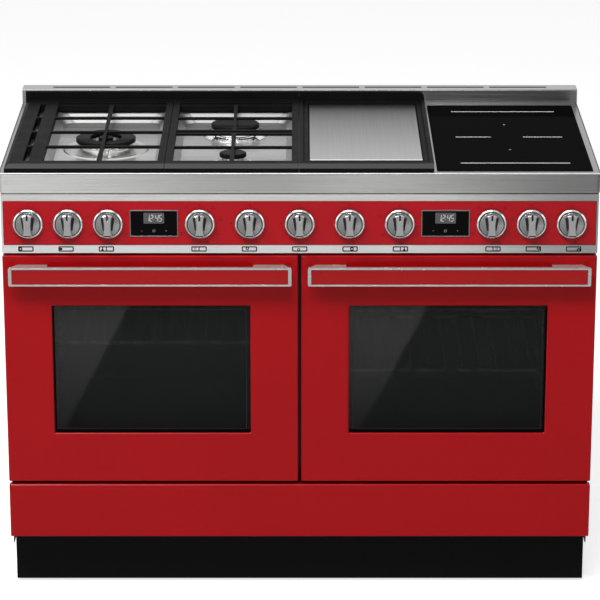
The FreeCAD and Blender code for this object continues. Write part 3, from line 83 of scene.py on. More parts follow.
# Dials, in degrees clockwise from the top
dial_start = 45
dial_end = 290
thermostat_dots = 10
thermostat_numbers = (50, 100, 150, 200, 250)
thermostat_number_start = 65
induction_dots = 9
induction_numbers = (1, 3, 5, 7, 9)
griddle_dots = 7
griddle_numbers = (1, 2, 3, 4)
griddle_number_start = 60
griddle_end = 270
function_signs = 8
function_pitch = 40
large_flame_angle = -90
small_flame_angle = -200
gas_dots = 9
gas_dots_start = -105
gas_dots_pitch = -10

# Knob fillings: painted shade in the groove, on the scoops and at the grip's foot, a disc with painted
# reflections and a printed pointer; depths from the knob's outermost face
knob_groove_shade_depth = 0.0185
knob_groove_shade_radius = 0.0262
knob_groove_shade_line = 0.0022
knob_disc_radius = 0.0238
knob_disc_depth = 0.0155
knob_foot_shadow_drop = 0.0195
knob_foot_shadow_width = 0.0150
knob_foot_shadow_line = 0.0022
knob_mark_depth = 0.0020
knob_mark_width = 0.0034
knob_mark_length = 0.0116

# Outline of the painted shade on a knob's left scoop, and its rim as radii and distances from the insert
knob_scoop_shade = ((-0.0085, 0.0150), (-0.0140, 0.0140), (-0.0098, -0.0120), (-0.0079, -0.0120),
              (-0.0074, -0.0080), (-0.0070, 0), (-0.0074, 0.0080))
knob_rim = ((0.0301, 0.0052), (0.0304, 0.0052), (0.0303, 0.0066), (0.0293, 0.0080), (0.0276, 0.0089),
            (0.0269, 0.0087), (0.0301, 0.0052))

# Painted shade in the gap round the red insert
insert_gap = 0.0012

# Displays
display_width = 0.093
lcd_width = 0.0412
lcd_height = 0.0222
lcd_rise = 0.011
digit_height = 0.0128
digit_width = 0.0050
digit_pitch = 0.0071
digit_stroke = 0.0009
digit_slant = 0.16
colon_gap = 0.0035
button_drop = 0.0155
button_pitch = 0.0243
button_size = 0.0050
button_line = 0.0009

# Induction glass, depths from the worktop's front edge
zone_line_width = 0.0042
zone_cross = 0.0060
zone_cross_line = 0.0010
zone_line_depths = (0.074, 0.277, 0.487)
zone_line_inset = 0.0495
zone_line_reach = 0.0080
zone_line_gap = 0.066
zone_cross_depths = (0.1765, 0.378)

# Beads
bead_depth = 0.0010
front_bead_radius = 0.0019
side_bead_radius = 0.0016
griddle_bead_radius = 0.0022

# Painted shadow along the groove round the griddle, on top of its cast frame
cast_rise = 0.016
groove_shadow_from_side = 0.009
groove_shadow_from_front = 0.0265
groove_shadow_back_wall = 0.012
groove_shadow_side_line = 0.0022
groove_shadow_front_line = 0.0050

# Painted shade over the upstand's slots
slot_shade_count = 8
slot_shade_length = 0.123
slot_shade_gap = 0.012
slot_shade_width = 0.0115

# Door windows: printed border, painted reflection and painted shade on each outer pane
window_print_inset = 0.017
window_print_line = 0.0012
window_pitch = 0.6044
window_wrap = 0.55
reflection_lean = 0.51
reflection_foot = -0.4825
reflection_level = 0.353
reflection_blur = 0.008
fall_above = 0.20
fall_below = 0.06
pane_lap = 0.009
shade_foot_line = 0.0080
shade_side_line = 0.0045

# Igniters
igniter_angles = {"wok": -80, "rapid": -95, "auxiliary": 75}
igniter_radius = 0.0026
igniter_gap = 0.0040
igniter_rise = 0.030
igniter_drop = 0.0050
igniter_rounding = 0.0010
igniter_collar_radius = 0.0040
igniter_collar_height = 0.0030
igniter_tip_radius = 0.0009
igniter_tip_height = 0.0040
igniter_tip_point = 0.0008
igniter_tip_sink = 0.0005

# Oven lamps
lamp_radius = 0.030
lamp_height = 0.012
lamp_rim = 0.004
lamp_inset = 0.052

# Screws of the back panel
screw_radius = 0.0042
screw_height = 0.0022
screw_count = 5
screw_side_inset = 0.014
screw_side_rise = 0.05
screw_side_pitch = 0.17
screw_foot_rise = 0.04
screw_foot_pitch = 0.26

# Relief of the finishes and the rounding of edges in them
brushed_relief = 0.00015
polished_relief = 0.0003
enamel_relief = 0.0004
paint_relief = 0.0002
cast_relief = 0.0003
glass_relief = 0.0005
rubber_relief = 0.0003
polished_edge = 0.0006
sheet_edge = 0.0008
cast_edge = 0.0010
enamel_edge = 0.0012
smooth_angle = math.radians(35)

# Where the painted shade on the steel starts and ends, from the edges of each piece, and the griddle's
# painted shade from front to back
hob_roll_start = 0.007
hob_roll_end = 0.009
hob_rear_start = 0.163
hob_rear_end = 0.043
hob_top_start = 0.0012
hob_top_end = 0.0004
fascia_fold_start = 0.0013
fascia_fold_end = 0.0004
upstand_top_start = 0.0008
upstand_top_end = 0.0002
griddle_tone_front = -0.23
griddle_tone_back = 0.22

# Stage: each light's place, width, height and power
floor_reach = 14.0
floor_lift = 0.70
ambient = 0.22
light_aim = (0, 0, 0.6)
lights = {
    "key": ((-0.9, -1.9, 3.6), 3.2, 0.6, 165),
    "fill": ((3.0, -3.6, 1.6), 2.0, 2.0, 10),
    "side": ((-3.4, -2.6, 1.6), 2.0, 2.0, 10),
}

# Camera, fitted to the photograph
camera_place = Vector((0.0006, -6.134, 2.535))
camera_pitch = math.radians(90 - 18)
camera_lens = 182.8
camera_sensor = 36
camera_reach = 60

worktop_low, worktop_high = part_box("worktop")
upstand_low, upstand_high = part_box("upstand")
insert_low, insert_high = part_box("fascia_insert")
fascia_low, fascia_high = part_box("control_fascia")
glass_low, glass_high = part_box("induction_glass")
display_low, display_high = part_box("display_modules")
bases_low, bases_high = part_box("burner_bases")
panels_low, panels_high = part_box("outer_panels")


# Meshes

def add_piece(name, mesh, material, body):
    mesh.materials.append(material)
    piece = bpy.data.objects.new(name, mesh)
    bpy.context.scene.collection.objects.link(piece)
    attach(piece, body)
    return piece


def mesh_from(name, builder, smooth=False):
    """A mesh from a filled bmesh; a smooth one keeps its sharp edges."""
    bmesh.ops.recalc_face_normals(builder, faces=builder.faces)
    mesh = bpy.data.meshes.new(name)
    builder.to_mesh(mesh)
    builder.free()
    if smooth:
        mesh.shade_smooth()
        mesh.set_sharp_from_angle(angle=smooth_angle)
    return mesh


def lathe(name, profile, centre, axis, material, body, steps=48):
    """A profile of (radius, distance along the axis) pairs, turned about the axis."""
    builder = bmesh.new()
    turn = UP.rotation_difference(axis)
    rings = []
    for radius, along in profile:
        ring = []
        for index in range(steps if radius > 0 else 1):
            angle = math.tau * index / steps
            point = Vector((radius * math.cos(angle), radius * math.sin(angle), along))
            ring.append(builder.verts.new(centre + turn @ point))
        rings.append(ring)
    for here, following in zip(rings, rings[1:]):
        for index in range(steps):
            after = (index + 1) % steps
            corners = [here[index % len(here)], here[after % len(here)],
                       following[after % len(following)], following[index % len(following)]]
            unique = list(dict.fromkeys(corners))
            if len(unique) > 2:
                builder.faces.new(unique)
    mesh = mesh_from(name, builder, smooth=True)
    return add_piece(name, mesh, material, body)


def arc(cx, cy, radius, start, end, steps):
    """Points along an arc; the angles are in degrees."""
    points = []
    for index in range(steps + 1):
        angle = math.radians(start + (end - start) * index / steps)
        points.append((cx + radius * math.cos(angle), cy + radius * math.sin(angle)))
    return points


def rounded(cx, cy, width, height, radius):
    """The outline of a rectangle with round corners."""
    x, y = width / 2 - radius, height / 2 - radius
    steps = 5
    return (arc(cx + x, cy + y, radius, 0, 90, steps) + arc(cx - x, cy + y, radius, 90, 180, steps)
            + arc(cx - x, cy - y, radius, 180, 270, steps) + arc(cx + x, cy - y, radius, 270, 360, steps))


def band(outer, inner):
    """Faces between two outlines with as many points."""
    faces = []
    for index in range(len(outer)):
        after = (index + 1) % len(outer)
        faces.append([outer[index], outer[after], inner[after], inner[index]])
    return faces


def frame_shape(cx, cy, width, height, radius, line):
    inner = rounded(cx, cy, width - 2 * line, height - 2 * line, max(radius - line, line / 4))
    return band(rounded(cx, cy, width, height, radius), inner)


def circle(cx, cy, radius):
    return arc(cx, cy, radius, 0, 360 - 360 / circle_steps, circle_steps - 1)


def disc_shape(cx, cy, radius):
    return [circle(cx, cy, radius)]


def ring_shape(cx, cy, radius, line):
    return band(circle(cx, cy, radius), circle(cx, cy, radius - line))


def line_shape(x0, y0, x1, y1, width):
    along = Vector((x1 - x0, y1 - y0)).normalized() * (width / 2)
    across = Vector((-along.y, along.x))
    return [[(x0 + across.x, y0 + across.y), (x0 - across.x, y0 - across.y),
             (x1 - across.x, y1 - across.y), (x1 + across.x, y1 + across.y)]]


def moved(faces, dx, dy):
    return [[(x + dx, y + dy) for x, y in face] for face in faces]


def on_front(y):
    """Places (u, v) on an upright plane that faces the front."""
    return lambda u, v: Vector((u, y, v))


def on_top(z):
    return lambda u, v: Vector((u, v, z))


def printed(name, faces, place, out, material, body):
    """Thin flat shapes laid on a surface whose normal is out."""
    builder = bmesh.new()
    for face in faces:
        builder.faces.new([builder.verts.new(place(u, v)) for u, v in face])
    bmesh.ops.remove_doubles(builder, verts=builder.verts, dist=merge_distance)
    made = bmesh.ops.extrude_face_region(builder, geom=builder.faces[:], use_keep_orig=True)
    lifted = [part for part in made["geom"] if isinstance(part, bmesh.types.BMVert)]
    bmesh.ops.translate(builder, verts=lifted, vec=out * print_thickness)
    return add_piece(name, mesh_from(name, builder), material, body)


# Materials

class Finish:
    """A Principled material whose even values are set on its own sockets."""

    def __init__(self, name, colour, roughness, metallic=0.0, **sockets):
        self.material = bpy.data.materials.new(name)
        self.material.use_nodes = True
        self.nodes = self.material.node_tree.nodes
        self.links = self.material.node_tree.links
        self.shader = self.nodes["Principled BSDF"]
        self.set("Base Color", (*colour, 1))
        self.set("Roughness", roughness)
        self.set("Metallic", metallic)
        for socket, value in sockets.items():
            self.set(socket.replace("_", " "), value)

    def set(self, socket, value):
        self.shader.inputs[socket].default_value = value

    def add(self, kind, **inputs):
        node = self.nodes.new(kind)
        for socket, value in inputs.items():
            node.inputs[socket.replace("_", " ")].default_value = value
        return node

    def join(self, output, target):
        self.links.new(output, target)

    def noise(self, stretch, detail=4.0):
        """Noise whose grains are as many to the metre along each axis as stretch says."""
        place = self.add("ShaderNodeTexCoord")
        mapping = self.add("ShaderNodeMapping", Scale=stretch)
        grains = self.add("ShaderNodeTexNoise", Scale=1.0, Detail=detail)
        self.join(place.outputs["Object"], mapping.inputs["Vector"])
        self.join(mapping.outputs["Vector"], grains.inputs["Vector"])
        return grains.outputs["Fac"]

    def axis(self, letter):
        """A place along one of the frame's axes, in metres."""
        place = self.add("ShaderNodeTexCoord")
        axes = self.add("ShaderNodeSeparateXYZ")
        self.join(place.outputs["Object"], axes.inputs["Vector"])
        return axes.outputs[letter]

    def facing(self, direction, width=0.03):
        """How closely a face looks along a direction, from 0 to 1."""
        place = self.add("ShaderNodeNewGeometry")
        along = self.add("ShaderNodeVectorMath")
        along.operation = "DOT_PRODUCT"
        along.inputs[1].default_value = direction
        self.join(place.outputs["Normal"], along.inputs[0])
        reach = self.add("ShaderNodeMapRange", From_Min=1 - width, From_Max=1 - width / 3)
        self.join(along.outputs["Value"], reach.inputs["Value"])
        return reach.outputs["Result"]

    def blend(self, factor, first, second):
        """A colour output that passes over to an even colour."""
        mix = self.add("ShaderNodeMix")
        mix.data_type = "RGBA"
        colour_b = next(socket for socket in mix.inputs if socket.name == "B" and socket.type == "RGBA")
        colour_a = next(socket for socket in mix.inputs if socket.name == "A" and socket.type == "RGBA")
        colour_b.default_value = second
        self.join(factor, mix.inputs["Factor"])
        self.join(first, colour_a)
        return next(socket for socket in mix.outputs if socket.type == "RGBA")

    def spread(self, factor, low, high, target):
        """Drives a socket between low and high."""
        reach = self.add("ShaderNodeMapRange", From_Min=0.25, From_Max=0.75, To_Min=low, To_Max=high)
        self.join(factor, reach.inputs["Value"])
        self.join(reach.outputs["Result"], self.shader.inputs[target])

    def tint(self, factor, low, high):
        """Drives the colour between two colours."""
        ramp = self.add("ShaderNodeValToRGB")
        ramp.color_ramp.elements[0].position = 0.25
        ramp.color_ramp.elements[1].position = 0.75
        ramp.color_ramp.elements[0].color = (*low, 1)
        ramp.color_ramp.elements[1].color = (*high, 1)
        self.join(factor, ramp.inputs["Fac"])
        self.join(ramp.outputs["Color"], self.shader.inputs["Base Color"])
        return ramp

    def relief(self, factor, strength, distance, edge=0.0, coat=False):
        """Bump from a factor, over edges that are rounded by edge."""
        bump = self.add("ShaderNodeBump", Strength=strength, Distance=distance)
        self.join(factor, bump.inputs["Height"])
        if edge:
            soft = self.add("ShaderNodeBevel", Radius=edge)
            soft.samples = 4
            self.join(soft.outputs["Normal"], bump.inputs["Normal"])
        self.join(bump.outputs["Normal"], self.shader.inputs["Normal"])
        if coat:
            self.join(bump.outputs["Normal"], self.shader.inputs["Coat Normal"])


def shade(colour, factor):
    return tuple(part * factor for part in colour)


def brushed(name, colour, grain, roughness=0.3, painted_light=None, shaded_areas=(), shaded_walls=()):
    """Brushed metal; grain has few grains to the metre along the brushing.

    The light and shade painted along the piece are shares of the colour at places from the left end
    to the right end. Each shaded stretch, from one place to another along an axis, passes over to a share of
    its own, as painted shade. So do the faces that look in a given direction.
    """
    made = Finish(name, colour, roughness, metallic=1.0)
    fine = made.noise(grain, detail=6.0)
    made.spread(fine, roughness - 0.06, roughness + 0.08, "Roughness")
    ramp = made.tint(fine, shade(colour, 0.92), shade(colour, 1.06))
    # Painted light and shade along the piece from its left end to its right end
    if painted_light:
        across = made.add("ShaderNodeMapRange", From_Min=worktop_low.x, From_Max=worktop_high.x)
        made.join(made.axis("X"), across.inputs["Value"])
        broad = made.add("ShaderNodeValToRGB")
        broad.color_ramp.interpolation = "EASE"
        stops = broad.color_ramp.elements
        while len(stops) < len(painted_light):
            stops.new(0.5)
        for stop, (place, share) in zip(stops, painted_light):
            stop.position = place
            stop.color = (share, share, share, 1)
        made.join(across.outputs["Result"], broad.inputs["Fac"])
        painted_tone = broad.outputs["Color"]
        # Painted shade over stretches along an axis and over faces that look in a given direction
        for letter, start, end, share in shaded_areas:
            reach = made.add("ShaderNodeMapRange", From_Min=start, From_Max=end)
            made.join(made.axis(letter), reach.inputs["Value"])
            painted_tone = made.blend(reach.outputs["Result"], painted_tone, (share, share, share, 1))
        for direction, share in shaded_walls:
            painted_tone = made.blend(made.facing(direction), painted_tone, (share, share, share, 1))
        mixed = made.add("ShaderNodeVectorMath")
        mixed.operation = "MULTIPLY"
        made.join(ramp.outputs["Color"], mixed.inputs[0])
        made.join(painted_tone, mixed.inputs[1])
        made.join(mixed.outputs["Vector"], made.shader.inputs["Base Color"])
    made.relief(fine, 0.12, brushed_relief, sheet_edge)
    return made.material


def spun(name, colour, painted_light, roughness=0.2):
    """Turned metal with painted highlights and reflections, whose shade goes round with the piece from its
    left side over its foot.
    """
    made = Finish(name, colour, roughness, metallic=1.0)
    place = made.add("ShaderNodeTexCoord")
    upright = made.add("ShaderNodeMapping", Location=(-0.5, -0.5, 0), Rotation=(-math.pi / 2, 0, 0))
    around = made.add("ShaderNodeTexGradient")
    around.gradient_type = "RADIAL"
    made.join(place.outputs["Generated"], upright.inputs["Vector"])
    made.join(upright.outputs["Vector"], around.inputs["Vector"])
    ramp = made.add("ShaderNodeValToRGB")
    stops = ramp.color_ramp.elements
    while len(stops) < len(painted_light):
        stops.new(0.5)
    for stop, (turn, share) in zip(stops, painted_light):
        stop.position = turn
        stop.color = (*shade(colour, share), 1)
    made.join(around.outputs["Fac"], ramp.inputs["Fac"])
    made.join(ramp.outputs["Color"], made.shader.inputs["Base Color"])
    return made.material


def griddle_steel(name, colour):
    """Ground steel with painted shade that darkens it towards the back."""
    made = Finish(name, colour, 0.34, metallic=1.0)
    fine = made.noise(along_y, detail=6.0)
    # Painted shade darkens the plate from front to back
    depth = made.add("ShaderNodeMapRange", From_Min=griddle_tone_front, From_Max=griddle_tone_back,
                     To_Min=0.24, To_Max=0.84)
    made.join(made.axis("Y"), depth.inputs["Value"])
    wander = made.add("ShaderNodeMath")
    wander.operation = "MULTIPLY_ADD"
    wander.inputs[1].default_value = 0.06
    made.join(fine, wander.inputs[0])
    made.join(depth.outputs["Result"], wander.inputs[2])
    made.tint(wander.outputs["Value"], colour, shade(colour, 0.27))
    made.spread(fine, 0.30, 0.38, "Roughness")
    made.relief(fine, 0.06, brushed_relief, sheet_edge)
    return made.material


def polished(name, colour, roughness=0.08, metallic=1.0):
    made = Finish(name, colour, roughness, metallic=metallic)
    cloud = made.noise((40, 40, 40))
    made.spread(cloud, roughness * 0.7, roughness * 1.5, "Roughness")
    made.relief(cloud, 0.03, polished_relief, polished_edge)
    return made.material


def rolled(name, colour):
    """Plain rolled metal without a grain that could be seen."""
    made = Finish(name, colour, 0.45, metallic=1.0)
    cloud = made.noise((30, 30, 30), detail=2.0)
    made.tint(cloud, shade(colour, 0.94), shade(colour, 1.06))
    return made.material


def enamel(name, colour, roughness=0.22, level=0.12, coat=0.08):
    """Glossy vitreous enamel with a faint orange peel."""
    made = Finish(name, colour, roughness, Specular_IOR_Level=level, Coat_Weight=coat, Coat_Roughness=0.06)
    peel = made.noise((160, 160, 160), detail=2.0)
    cloud = made.noise((3, 3, 3), detail=2.0)
    made.tint(cloud, shade(colour, 0.95), shade(colour, 1.05))
    made.relief(peel, 0.04, enamel_relief, enamel_edge, coat=True)
    return made.material


def paint(name, colour, roughness=0.5, level=0.15):
    made = Finish(name, colour, roughness, Specular_IOR_Level=level)
    grain = made.noise((700, 700, 700), detail=3.0)
    cloud = made.noise((9, 9, 9), detail=3.0)
    made.tint(cloud, shade(colour, 0.88), shade(colour, 1.12))
    made.spread(cloud, roughness - 0.05, roughness + 0.06, "Roughness")
    made.relief(grain, 0.12, paint_relief, sheet_edge)
    return made.material


def cast_iron(name, colour):
    """Matt enamelled cast iron: a fine even grain, lighter in clouds of wear, and a painted highlight on the
    bevels in front.
    """
    made = Finish(name, colour, 0.5, Specular_IOR_Level=0.02)
    grain = made.noise((900, 900, 900), detail=5.0)
    cloud = made.noise((25, 25, 25), detail=5.0)
    ramp = made.tint(cloud, shade(colour, 0.85), shade(colour, 1.18))
    # Painted highlight on the faces that look up and to the front
    bevel_highlight = made.blend(made.facing(up_front), ramp.outputs["Color"], (0.055, 0.055, 0.057, 1))
    made.join(bevel_highlight, made.shader.inputs["Base Color"])
    made.spread(cloud, 0.42, 0.55, "Roughness")
    made.relief(grain, 0.35, cast_relief, cast_edge)
    return made.material


def black_glass(name, colour, roughness=0.03, level=0.001):
    made = Finish(name, colour, roughness, Specular_IOR_Level=level)
    cloud = made.noise((4, 4, 4), detail=2.0)
    made.spread(cloud, roughness * 0.8, roughness * 1.6, "Roughness")
    made.relief(cloud, 0.01, glass_relief, polished_edge)
    return made.material


def rubber(name, colour):
    made = Finish(name, colour, 0.75)
    grain = made.noise((400, 400, 400))
    made.spread(grain, 0.68, 0.84, "Roughness")
    made.tint(grain, shade(colour, 0.8), shade(colour, 1.25))
    made.relief(grain, 0.25, rubber_relief)
    return made.material


def ink(name, colour, roughness=0.5, level=0.08):
    made = Finish(name, colour, roughness, Specular_IOR_Level=level)
    grain = made.noise((500, 500, 500))
    made.tint(grain, shade(colour, 0.9), shade(colour, 1.1))
    return made.material


def lit(name, colour, strength):
    """Lit segments of a display."""
    made = Finish(name, colour, 0.4, Emission_Color=(*colour, 1), Emission_Strength=strength)
    grain = made.noise((900, 900, 900))
    made.tint(grain, shade(colour, 0.95), colour)
    return made.material


def window_glass(name):
    """Dark tinted glass that lets a little of the oven show.

    A painted reflection makes it paler towards its upper left corner, over a leaning edge, and it is
    darker towards its foot.
    """
    made = Finish(name, (0.012, 0.013, 0.013), 0.02, Specular_IOR_Level=0.045, Alpha=0.58)
    cloud = made.noise((3, 3, 3), detail=2.0)
    made.spread(cloud, 0.015, 0.035, "Roughness")
    either = made.add("ShaderNodeMath")
    either.operation = "WRAP"
    either.inputs[1].default_value = window_pitch - window_wrap
    either.inputs[2].default_value = -window_wrap
    made.join(made.axis("X"), either.inputs[0])
    across = made.add("ShaderNodeMath")
    across.operation = "MULTIPLY_ADD"
    across.inputs[1].default_value = -reflection_lean
    made.join(made.axis("Z"), across.inputs[0])
    made.join(either.outputs["Value"], across.inputs[2])
    # Edge of the painted reflection, leaning across the pane
    edge = reflection_foot - reflection_lean * reflection_level
    painted_reflection = made.add("ShaderNodeMapRange", From_Min=edge - reflection_blur, From_Max=edge + reflection_blur)
    made.join(across.outputs["Value"], painted_reflection.inputs["Value"])
    ramp = made.tint(painted_reflection.outputs["Result"], (0.037, 0.038, 0.037), (0.0100, 0.0110, 0.0110))
    fall = made.add("ShaderNodeMapRange", From_Min=reflection_level + fall_above,
                    From_Max=reflection_level - fall_below)
    made.join(made.axis("Z"), fall.inputs["Value"])
    made.join(made.blend(fall.outputs["Result"], ramp.outputs["Color"], (0.0030, 0.0032, 0.0032, 1)),
              made.shader.inputs["Base Color"])
    return made.material


def clear_glass(name):
    made = Finish(name, (0.25, 0.28, 0.27), 0.02, Alpha=0.25)
    cloud = made.noise((3, 3, 3), detail=2.0)
    made.spread(cloud, 0.015, 0.03, "Roughness")
    return made.material


along_x = (4, 700, 700)
along_y = (700, 4, 700)

steel = (0.88, 0.88, 0.875)
# Painted light and shade on the steel from its left end to its right end, as place and share of the colour
front_painted_light = ((0, 0.90), (0.45, 0.55), (0.6, 0.66), (1, 0.28))
fascia_painted_light = ((0, 0.92), (0.65, 0.88), (1, 0.42))
upstand_painted_light = ((0, 0.45), (0.7, 0.46), (1, 0.24))

# Areas of painted shade: the axis, where the change starts and ends, and the share of the colour
hob_painted_shade = (
    ("Y", worktop_low.y + hob_roll_start, worktop_low.y + hob_roll_end, 0.70),
    ("Y", worktop_high.y - hob_rear_start, worktop_high.y - hob_rear_end, 0.42),
    ("Z", worktop_high.z - hob_top_start, worktop_high.z - hob_top_end, 0.30),
)
fascia_painted_shade = (("Y", fascia_low.y + fascia_fold_start, fascia_low.y + fascia_fold_end, 0.22),)
upstand_painted_shade = (("Z", upstand_high.z - upstand_top_start, upstand_high.z - upstand_top_end, 0.42),)

# Directions of the cast bevels in front, which get a painted highlight, and of the wells' back walls, which
# get painted shade
up_front = (0, -0.685, 0.728)
well_back = (0, -0.740, 0.673)

dark_enamel = (0.010, 0.010, 0.011)
red = (0.320, 0.0030, 0.0052)
chrome = polished("chrome", (0.80, 0.80, 0.80))

finishes = {
    "galvanised": brushed("galvanised", (0.42, 0.43, 0.44), (60, 60, 60), 0.5),
    "zinc": brushed("zinc", (0.55, 0.55, 0.55), (90, 90, 90), 0.4),
    "side_paint": paint("side_paint", (0.030, 0.030, 0.033)),
    "plinth_paint": paint("plinth_paint", (0.003, 0.003, 0.003), level=0.05),
    "frame_enamel": enamel("frame_enamel", dark_enamel, roughness=0.3),
    # The wells' back walls get painted shade
    "hob_steel": brushed("hob_steel", steel, along_x, painted_light=front_painted_light, shaded_areas=hob_painted_shade,
                         shaded_walls=((well_back, 0.36),)),
    "ceramic_glass": black_glass("ceramic_glass", (0.0025, 0.0025, 0.0025), level=0.0004),
    "cast_iron": cast_iron("cast_iron", (0.0050, 0.0050, 0.0053)),
    "griddle_steel": griddle_steel("griddle_steel", (0.40, 0.40, 0.40)),
    "upstand_steel": brushed("upstand_steel", steel, along_x, painted_light=upstand_painted_light, shaded_areas=upstand_painted_shade),
    "burner_aluminium": polished("burner_aluminium", (0.78, 0.78, 0.77), 0.12),
    "cap_enamel": paint("cap_enamel", (0.0045, 0.0045, 0.0045), 0.35, 0.025),
    "fascia_steel": brushed("fascia_steel", steel, along_x, painted_light=fascia_painted_light, shaded_areas=fascia_painted_shade),
    "fascia_red": enamel("fascia_red", (0.350, 0.0050, 0.0095)),
    "display_glass": black_glass("display_glass", (0.004, 0.004, 0.004)),
    "knob_metal": brushed("knob_metal", (0.46, 0.46, 0.46), (300, 300, 300), 0.2),
    "sleeve_brass": brushed("sleeve_brass", (0.62, 0.45, 0.18), (300, 30, 300), 0.3),
    "seal_rubber": rubber("seal_rubber", (0.012, 0.012, 0.012)),
    "wire_chrome": polished("wire_chrome", (0.80, 0.80, 0.80), 0.25),
    "element_steel": brushed("element_steel", (0.10, 0.095, 0.09), (80, 80, 80), 0.45),
    "fan_steel": brushed("fan_steel", (0.40, 0.40, 0.40), (90, 90, 90), 0.45),
    "door_red": enamel("door_red", red, level=0.08, coat=0.05),
    "door_glass": window_glass("door_glass"),
    "inner_glass": clear_glass("inner_glass"),
    "handle_chrome": polished("handle_chrome", (0.42, 0.42, 0.42), 0.2, metallic=0.55),
    "handle_red": enamel("handle_red", (0.29, 0.0060, 0.0070)),
    "drawer_red": enamel("drawer_red", red, level=0.08, coat=0.05),
}

# Dark ink for print, and for the painted shadow at the foot of each knob's grip
print_and_shadow_ink = ink("print_and_shadow_ink", (0.012, 0.010, 0.010))
# Dark ink that is painted shade in the knobs' grooves and scoops, round the red insert and in the upstand's
# slots
groove_ink = ink("groove_ink", (0.020, 0.020, 0.020), 0.4)
shade_ink = ink("shade_ink", (0.0016, 0.0016, 0.0016), level=0.01)
# Pale steel whose brightness is a painted highlight on the griddle plate's front bead
lip_highlight_steel = rolled("lip_highlight_steel", (0.95, 0.95, 0.95))
edge_steel = rolled("edge_steel", (0.40, 0.40, 0.40))
edge_shadow = rolled("edge_shadow", (0.07, 0.07, 0.07))
# Painted highlights and reflections round the knobs' discs and rims, as turn and share of the colour
disc_painted_light = ((0, 0.75), (0.2, 0.55), (0.33, 0.8), (0.48, 1.0), (0.6, 0.55), (0.75, 0.4), (0.88, 0.9),
              (1, 0.75))
rim_painted_light = ((0, 0.95), (0.05, 0.55), (0.14, 0.35), (0.26, 0.70), (0.40, 0.85), (0.52, 1.0), (0.62, 0.95),
             (0.65, 0.25), (0.69, 0.65), (0.80, 0.60), (0.83, 0.25), (0.87, 0.85), (1, 0.95))
disc_reflection_metal = spun("disc_reflection_metal", (0.40, 0.40, 0.40), disc_painted_light, 0.3)
rim_highlight_metal = spun("rim_highlight_metal", (0.88, 0.88, 0.88), rim_painted_light, 0.15)
zone_ink = ink("zone_ink", (0.60, 0.60, 0.60))
border_ink = ink("border_ink", (0.016, 0.017, 0.017))
lcd_grey = ink("lcd_grey", (0.085, 0.085, 0.085), 0.25)
lcd_white = lit("lcd_white", (0.62, 0.62, 0.64), 0.12)
button_grey = ink("button_grey", (0.20, 0.20, 0.20))
ceramic = paint("ceramic", (0.62, 0.60, 0.56), 0.35)
lamp_glass = Finish("lamp_glass", (0.75, 0.75, 0.72), 0.08, Alpha=0.6).material


def dress_frame():
    """Gives each solid of the frame the finish of its material slot."""
    for subpart in frame["record"]["subparts"]:
        node = frame["nodes"][subpart["node"]]
        slot = "upstand_steel" if subpart["node"] == "upstand" else subpart["material_slot"]
        node.data.materials.clear()
        node.data.materials.append(finishes[slot])


# Fascia

def knob_centre(name):
    low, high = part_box(name)
    return (low.x + high.x) / 2, (low.z + high.z) / 2


def thermometer(x):
    return disc_shape(x, -bulb_radius, bulb_radius) + line_shape(x, stem_foot, x, stem_head, stem_line)


def divider():
    height = icon_height / 2 - icon_line
    return line_shape(0, -height, 0, height, icon_line * 0.8)


def heat_symbol(x):
    """Two bars and a fan between them, the sign of an oven function."""
    faces = []
    for rise in (heat_bar_rise, -heat_bar_rise):
        faces += line_shape(x - heat_bar_half, rise, x + heat_bar_half, rise, heat_bar_line)
    return faces + ring_shape(x, 0, heat_ring_radius, heat_ring_line)


def ring_at(x, y):
    return ring_shape(x, y, icon_ring, icon_line)


def icon_contents():
    """What each knob's sign shows inside its frame."""
    side = icon_side_place
    half = icon_width / 4
    return {
        "knob_wok_outer": ring_at(-side, 0),
        "knob_wok_inner": disc_shape(-side, 0, icon_ring * 0.8),
        "knob_left_oven_thermostat": thermometer(-half) + divider(),
        "knob_left_oven_function": heat_symbol(-half) + divider(),
        "knob_rapid_burner": ring_shape(-icon_ring, icon_ring / 3, icon_ring * 0.9, icon_line * 0.8),
        "knob_auxiliary_burner": ring_shape(-icon_ring / 2, -icon_ring / 3, icon_ring * 0.8, icon_line * 0.7),
        "knob_griddle": frame_shape(icon_ring, 0, icon_ring * 2, icon_height * 0.7, icon_ring * 0.9,
                                    icon_line),
        "knob_right_oven_thermostat": thermometer(half) + divider(),
        "knob_right_oven_function": heat_symbol(half) + divider(),
        "knob_induction_rear": ring_at(side, icon_ring / 2),
        "knob_induction_front": ring_at(side, -icon_ring / 2),
    }


def print_icons():
    """A framed sign on the steel under each knob."""
    z = (fascia_low.z + insert_low.z) / 2
    for knob, contents in icon_contents().items():
        x = knob_centre(knob)[0]
        faces = frame_shape(0, 0, icon_width, icon_height, icon_corner, icon_line) + contents
        faces = moved(faces, x * icon_spread, z)
        printed(knob.replace("knob", "sign"), faces, on_front(insert_high.y), FRONT, print_and_shadow_ink, ROOT)


def flame(scale):
    """A pointed drop."""
    half = flame_width * scale / 2
    tip = flame_height * scale
    return [arc(0, half, half, 180, 360, 10) + [(half * 0.7, tip * 0.6), (0, tip), (-half * 0.7, tip * 0.6)]]


def around(faces, angle, radius):
    """Faces moved out to a place on the clock face; the angle is clockwise from the top."""
    turn = math.radians(angle)
    return moved(faces, radius * math.sin(turn), radius * math.cos(turn))


